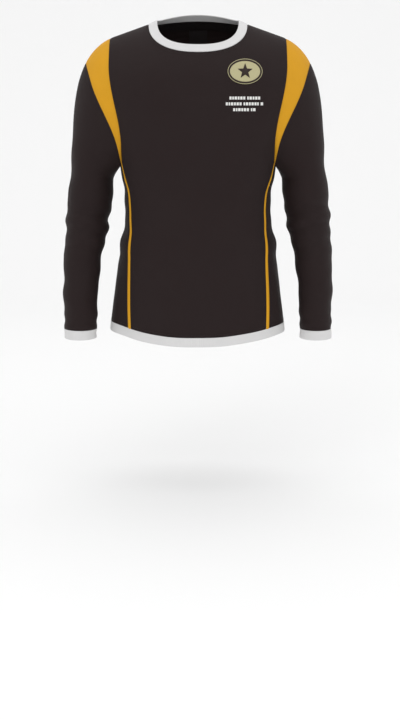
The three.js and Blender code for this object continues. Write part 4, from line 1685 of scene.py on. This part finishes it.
# ---- Chest badge and print -------------------------------------------------------------------------
@dataclass
class Chest:
    """Embroidered oval badge with a plain star, and three rows of plain printed blocks."""

    fitter: Fitter
    badge_x: float = 0.52 * CUT.shoulder
    badge_z: float = 0.364 * CUT.armpit_z
    half_w: float = 38
    half_h: float = 27
    border: float = 1.8  # half width of the border
    rim: float = 1.3  # twill that shows outside the border
    wraps: int = 200  # turns of thread round the border
    star: float = 17
    bar_widths: tuple[float, ...] = (68, 84, 52)
    block_widths: tuple[float, ...] = (4.6, 3.4, 5.4, 4.0, 5.0)
    narrowest: float = 2
    narrow_gap: float = 1.5
    wide_gap: float = 4.2
    bar_height: float = 6.4
    bar_pitch: float = 12.4
    first_bar: float = 56.5  # distance of the first bar below the badge's middle

    def on_chest(self, a: Array, b: Array, lift: Array | float) -> Array:
        """Point of the chest, seen from the badge's middle.

        Args:
            a: distances across.
            b: distances up.
            lift: heights off the cloth.

        Returns:
            The points.
        """
        x, z = self.badge_x + np.asarray(a), self.badge_z + np.asarray(b)

        def front(x: Array, z: Array) -> Array:
            """The front panel's cloth."""
            return BODY.skin(x, z, -1.0)

        return front(x, z) + surface_normals(front, x, z, 0.5) * np.asarray(lift)[..., None]

    def ground(self) -> Cloth:
        """The badge's twill: a square grid pressed into an oval, each side bowed by the other.

        Returns:
            The sheet.
        """
        u, v = np.meshgrid(np.linspace(-1, 1, 41), np.linspace(-1, 1, 33))
        a = u * np.sqrt(1 - v**2 / 2) * self.half_w
        b = v * np.sqrt(1 - u**2 / 2) * self.half_h
        return Cloth(self.on_chest(a, b, 1.1 + 0 * a), thick=1.0, tuck=FLAT)

    def edging(self) -> Solid:
        """The border: a flat bead round the oval whose thickness ripples with each turn of thread.

        Returns:
            The bead.
        """
        columns, sides = self.wraps * 5, 12  # five columns to a turn of thread
        turn, phi = np.meshgrid(np.arange(columns) / columns, TURN * np.arange(sides) / sides)
        theta = TURN * turn
        ripple = 1 + 0.09 * np.abs(np.sin(math.pi * self.wraps * turn + 0.5 * phi))
        out = self.border * ripple * np.cos(phi)
        inset = self.border + self.rim
        a = (self.half_w - inset + out) * np.cos(theta)
        b = (self.half_h - inset + out) * np.sin(theta)
        points = self.on_chest(a, b, 1.6 + 1.15 * ripple * np.sin(phi))
        quads = grid_quads(sides + 1, columns, True) % (sides * columns)
        uvs = np.stack([turn * 0.205, phi * 0.001], axis=-1).reshape(-1, 2)
        return Solid(points.reshape(-1, 3), [quads], uvs)

    def raised_star(self) -> Solid:
        """Satin-stitched star: its outline, stepped inwards and upwards to a peak.

        Returns:
            The star.
        """
        corner = np.arange(11)
        radius = np.where(corner % 2, 0.42, 1.0) * self.star
        angle = math.pi * corner / 5 + math.pi / 2
        at = np.arange(120) / 12
        x = np.interp(at, corner, radius * np.cos(angle))
        y = np.interp(at, corner, radius * np.sin(angle))
        steps = ((1, 1.5), (1, 2.1), (0.88, 2.5), (0.6, 2.75), (0.25, 2.9))
        rings = [self.on_chest(x * r, y * r, np.full(120, h)) for r, h in steps]
        ends = [self.on_chest(np.zeros(1), np.zeros(1), np.array([h])) for h in (2.95, 1.5)]
        quads = grid_quads(len(steps), 120, True)
        index, after = np.arange(120), np.roll(np.arange(120), -1)
        last = (len(steps) - 1) * 120
        peak = len(steps) * 120
        fan = np.stack([index + last, after + last, np.full(120, peak)], axis=-1)
        under = np.stack([after, index, np.full(120, peak + 1)], axis=-1)
        return Solid(np.concatenate(rings + ends), [quads, fan, under])

    def bar(self, width: float, level: float) -> Solid:
        """A row of small plain blocks of uneven width, with a wider gap after every few.

        Args:
            width: the row's width.
            level: height of its middle above the badge's middle.

        Returns:
            The blocks.
        """
        blocks: list[Solid] = []
        left, count = -width / 2, 0
        while left < width / 2 - self.narrowest:
            wide = min(self.block_widths[count % len(self.block_widths)], width / 2 - left)
            a, b = np.meshgrid(np.linspace(0, wide, 4), np.linspace(-0.5, 0.5, 4) * self.bar_height)
            a, b = left + a, level + b
            blocks.append(Cloth(self.on_chest(a, b, 0.52 + 0 * a), thick=0.16, tuck=FLAT).solid())
            count += 1
            left += wide + (self.wide_gap if count % 6 == 0 else self.narrow_gap)
        return Solid.gathered(blocks)

    def build(self) -> None:
        """Makes and dresses the badge and the print."""
        fit = self.fitter.fit
        ground = self.ground()
        obj = fit(ground.made("badge_oval"), Finishes.TWILL, ["badge_ground"])
        self.fitter.declare(obj, ground, ["front_panel"])
        fit(self.edging().made("badge_edging"), Finishes.EMBROIDERY, ["badge_border"])
        fit(self.raised_star().made("badge_plain_star"), Finishes.EMBROIDERY, ["badge_star"])
        for row, word in enumerate(("top", "middle", "bottom")):
            level = -self.first_bar - row * self.bar_pitch
            blocks = self.bar(self.bar_widths[row], level)
            fit(blocks.made(f"print_blocks_{word}"), Finishes.FILM, [f"print_bar_{word}"])


# ---- Studio ----------------------------------------------------------------------------------------
@dataclass(frozen=True)
class Softbox:
    """A square area light."""

    name: str
    place: tuple[float, float, float]
    size: float
    power: float
    aim: tuple[float, float, float] = (0.0, 0.0, -0.35)

    def build(self) -> None:
        """Adds the light, turned to its aim."""
        data = bpy.data.lights.new(self.name, "AREA")
        data.size = self.size
        data.energy = self.power
        light = bpy.data.objects.new(self.name, data)
        bpy.context.scene.collection.objects.link(light)
        light.location = self.place
        away = np.array(self.place) - np.array(self.aim)
        flat = math.hypot(away[0], away[1])
        light.rotation_euler = (math.atan2(flat, away[2]), 0.0, math.atan2(away[0], -away[1]))


@dataclass(frozen=True)
class Studio:
    """Pale sweep, soft lights and the camera."""

    floor_z: float = -1.06
    paper: Colour = (0.93, 0.93, 0.93)
    ambient: float = 0.92
    lens: float = 65
    camera: tuple[float, float, float] = (0.0045, -3.0, -0.17)
    pitch: float = 11.4

    def sweep(self) -> None:
        """A floor that curves up into a back wall: flat, then a quarter circle, then upright."""
        bend = np.linspace(0, math.pi / 2, 24)
        radius, start = 1.6, 2.6
        y = np.concatenate([[-30.0], start + radius * np.sin(bend), [start + radius]])
        z = self.floor_z + np.concatenate([[0.0], radius * (1 - np.cos(bend)), [7.0]])
        x, row = np.meshgrid([-30.0, 30.0], np.arange(len(y)))
        points = stack(x, y[row], z[row]) / MM
        sheet = Solid(points.reshape(-1, 3), [grid_quads(len(y), 2, False)]).made("studio_sweep")
        paper = bpy.data.materials.new("studio_paper")
        paper.use_nodes = True
        shader = paper.node_tree.nodes["Principled BSDF"]
        shader.inputs["Base Color"].default_value = shade(self.paper, 1)
        shader.inputs["Roughness"].default_value = 0.9
        sheet.data.materials.append(paper)

    def build(self) -> None:
        """Builds the sweep, the lights, the world and the camera."""
        self.sweep()
        for box in (
            Softbox("key", (-1.3, -3.2, 2.1), 2.2, 22),
            Softbox("fill", (2.6, -2.4, 0.7), 2.4, 8),
            Softbox("top", (0.0, 0.6, 2.4), 2.6, 18),
        ):
            box.build()
        world = bpy.data.worlds.new("studio")
        world.use_nodes = True
        sky = world.node_tree.nodes["Background"]
        sky.inputs["Color"].default_value = (1, 1, 1, 1)
        sky.inputs["Strength"].default_value = self.ambient
        scene = bpy.context.scene
        scene.world = world
        scene.view_settings.view_transform = "Standard"
        data = bpy.data.cameras.new("camera")
        data.lens = self.lens
        camera = bpy.data.objects.new("camera", data)
        scene.collection.objects.link(camera)
        camera.location = self.camera
        camera.rotation_euler = (math.radians(90 - self.pitch), 0.0, 0.0)
        scene.camera = camera


def main() -> None:
    """Builds the shirt over the frame, then the studio."""
    logging.basicConfig(level=logging.INFO, format="%(name)s: %(message)s")
    fitter = Fitter()
    BodyPanels(fitter).build()
    for arm in Arm:
        Sleeve(fitter, arm).build()
    Edges(fitter).build()
    Chest(fitter).build()
    Studio().build()


if __name__ == "__main__":
    main()
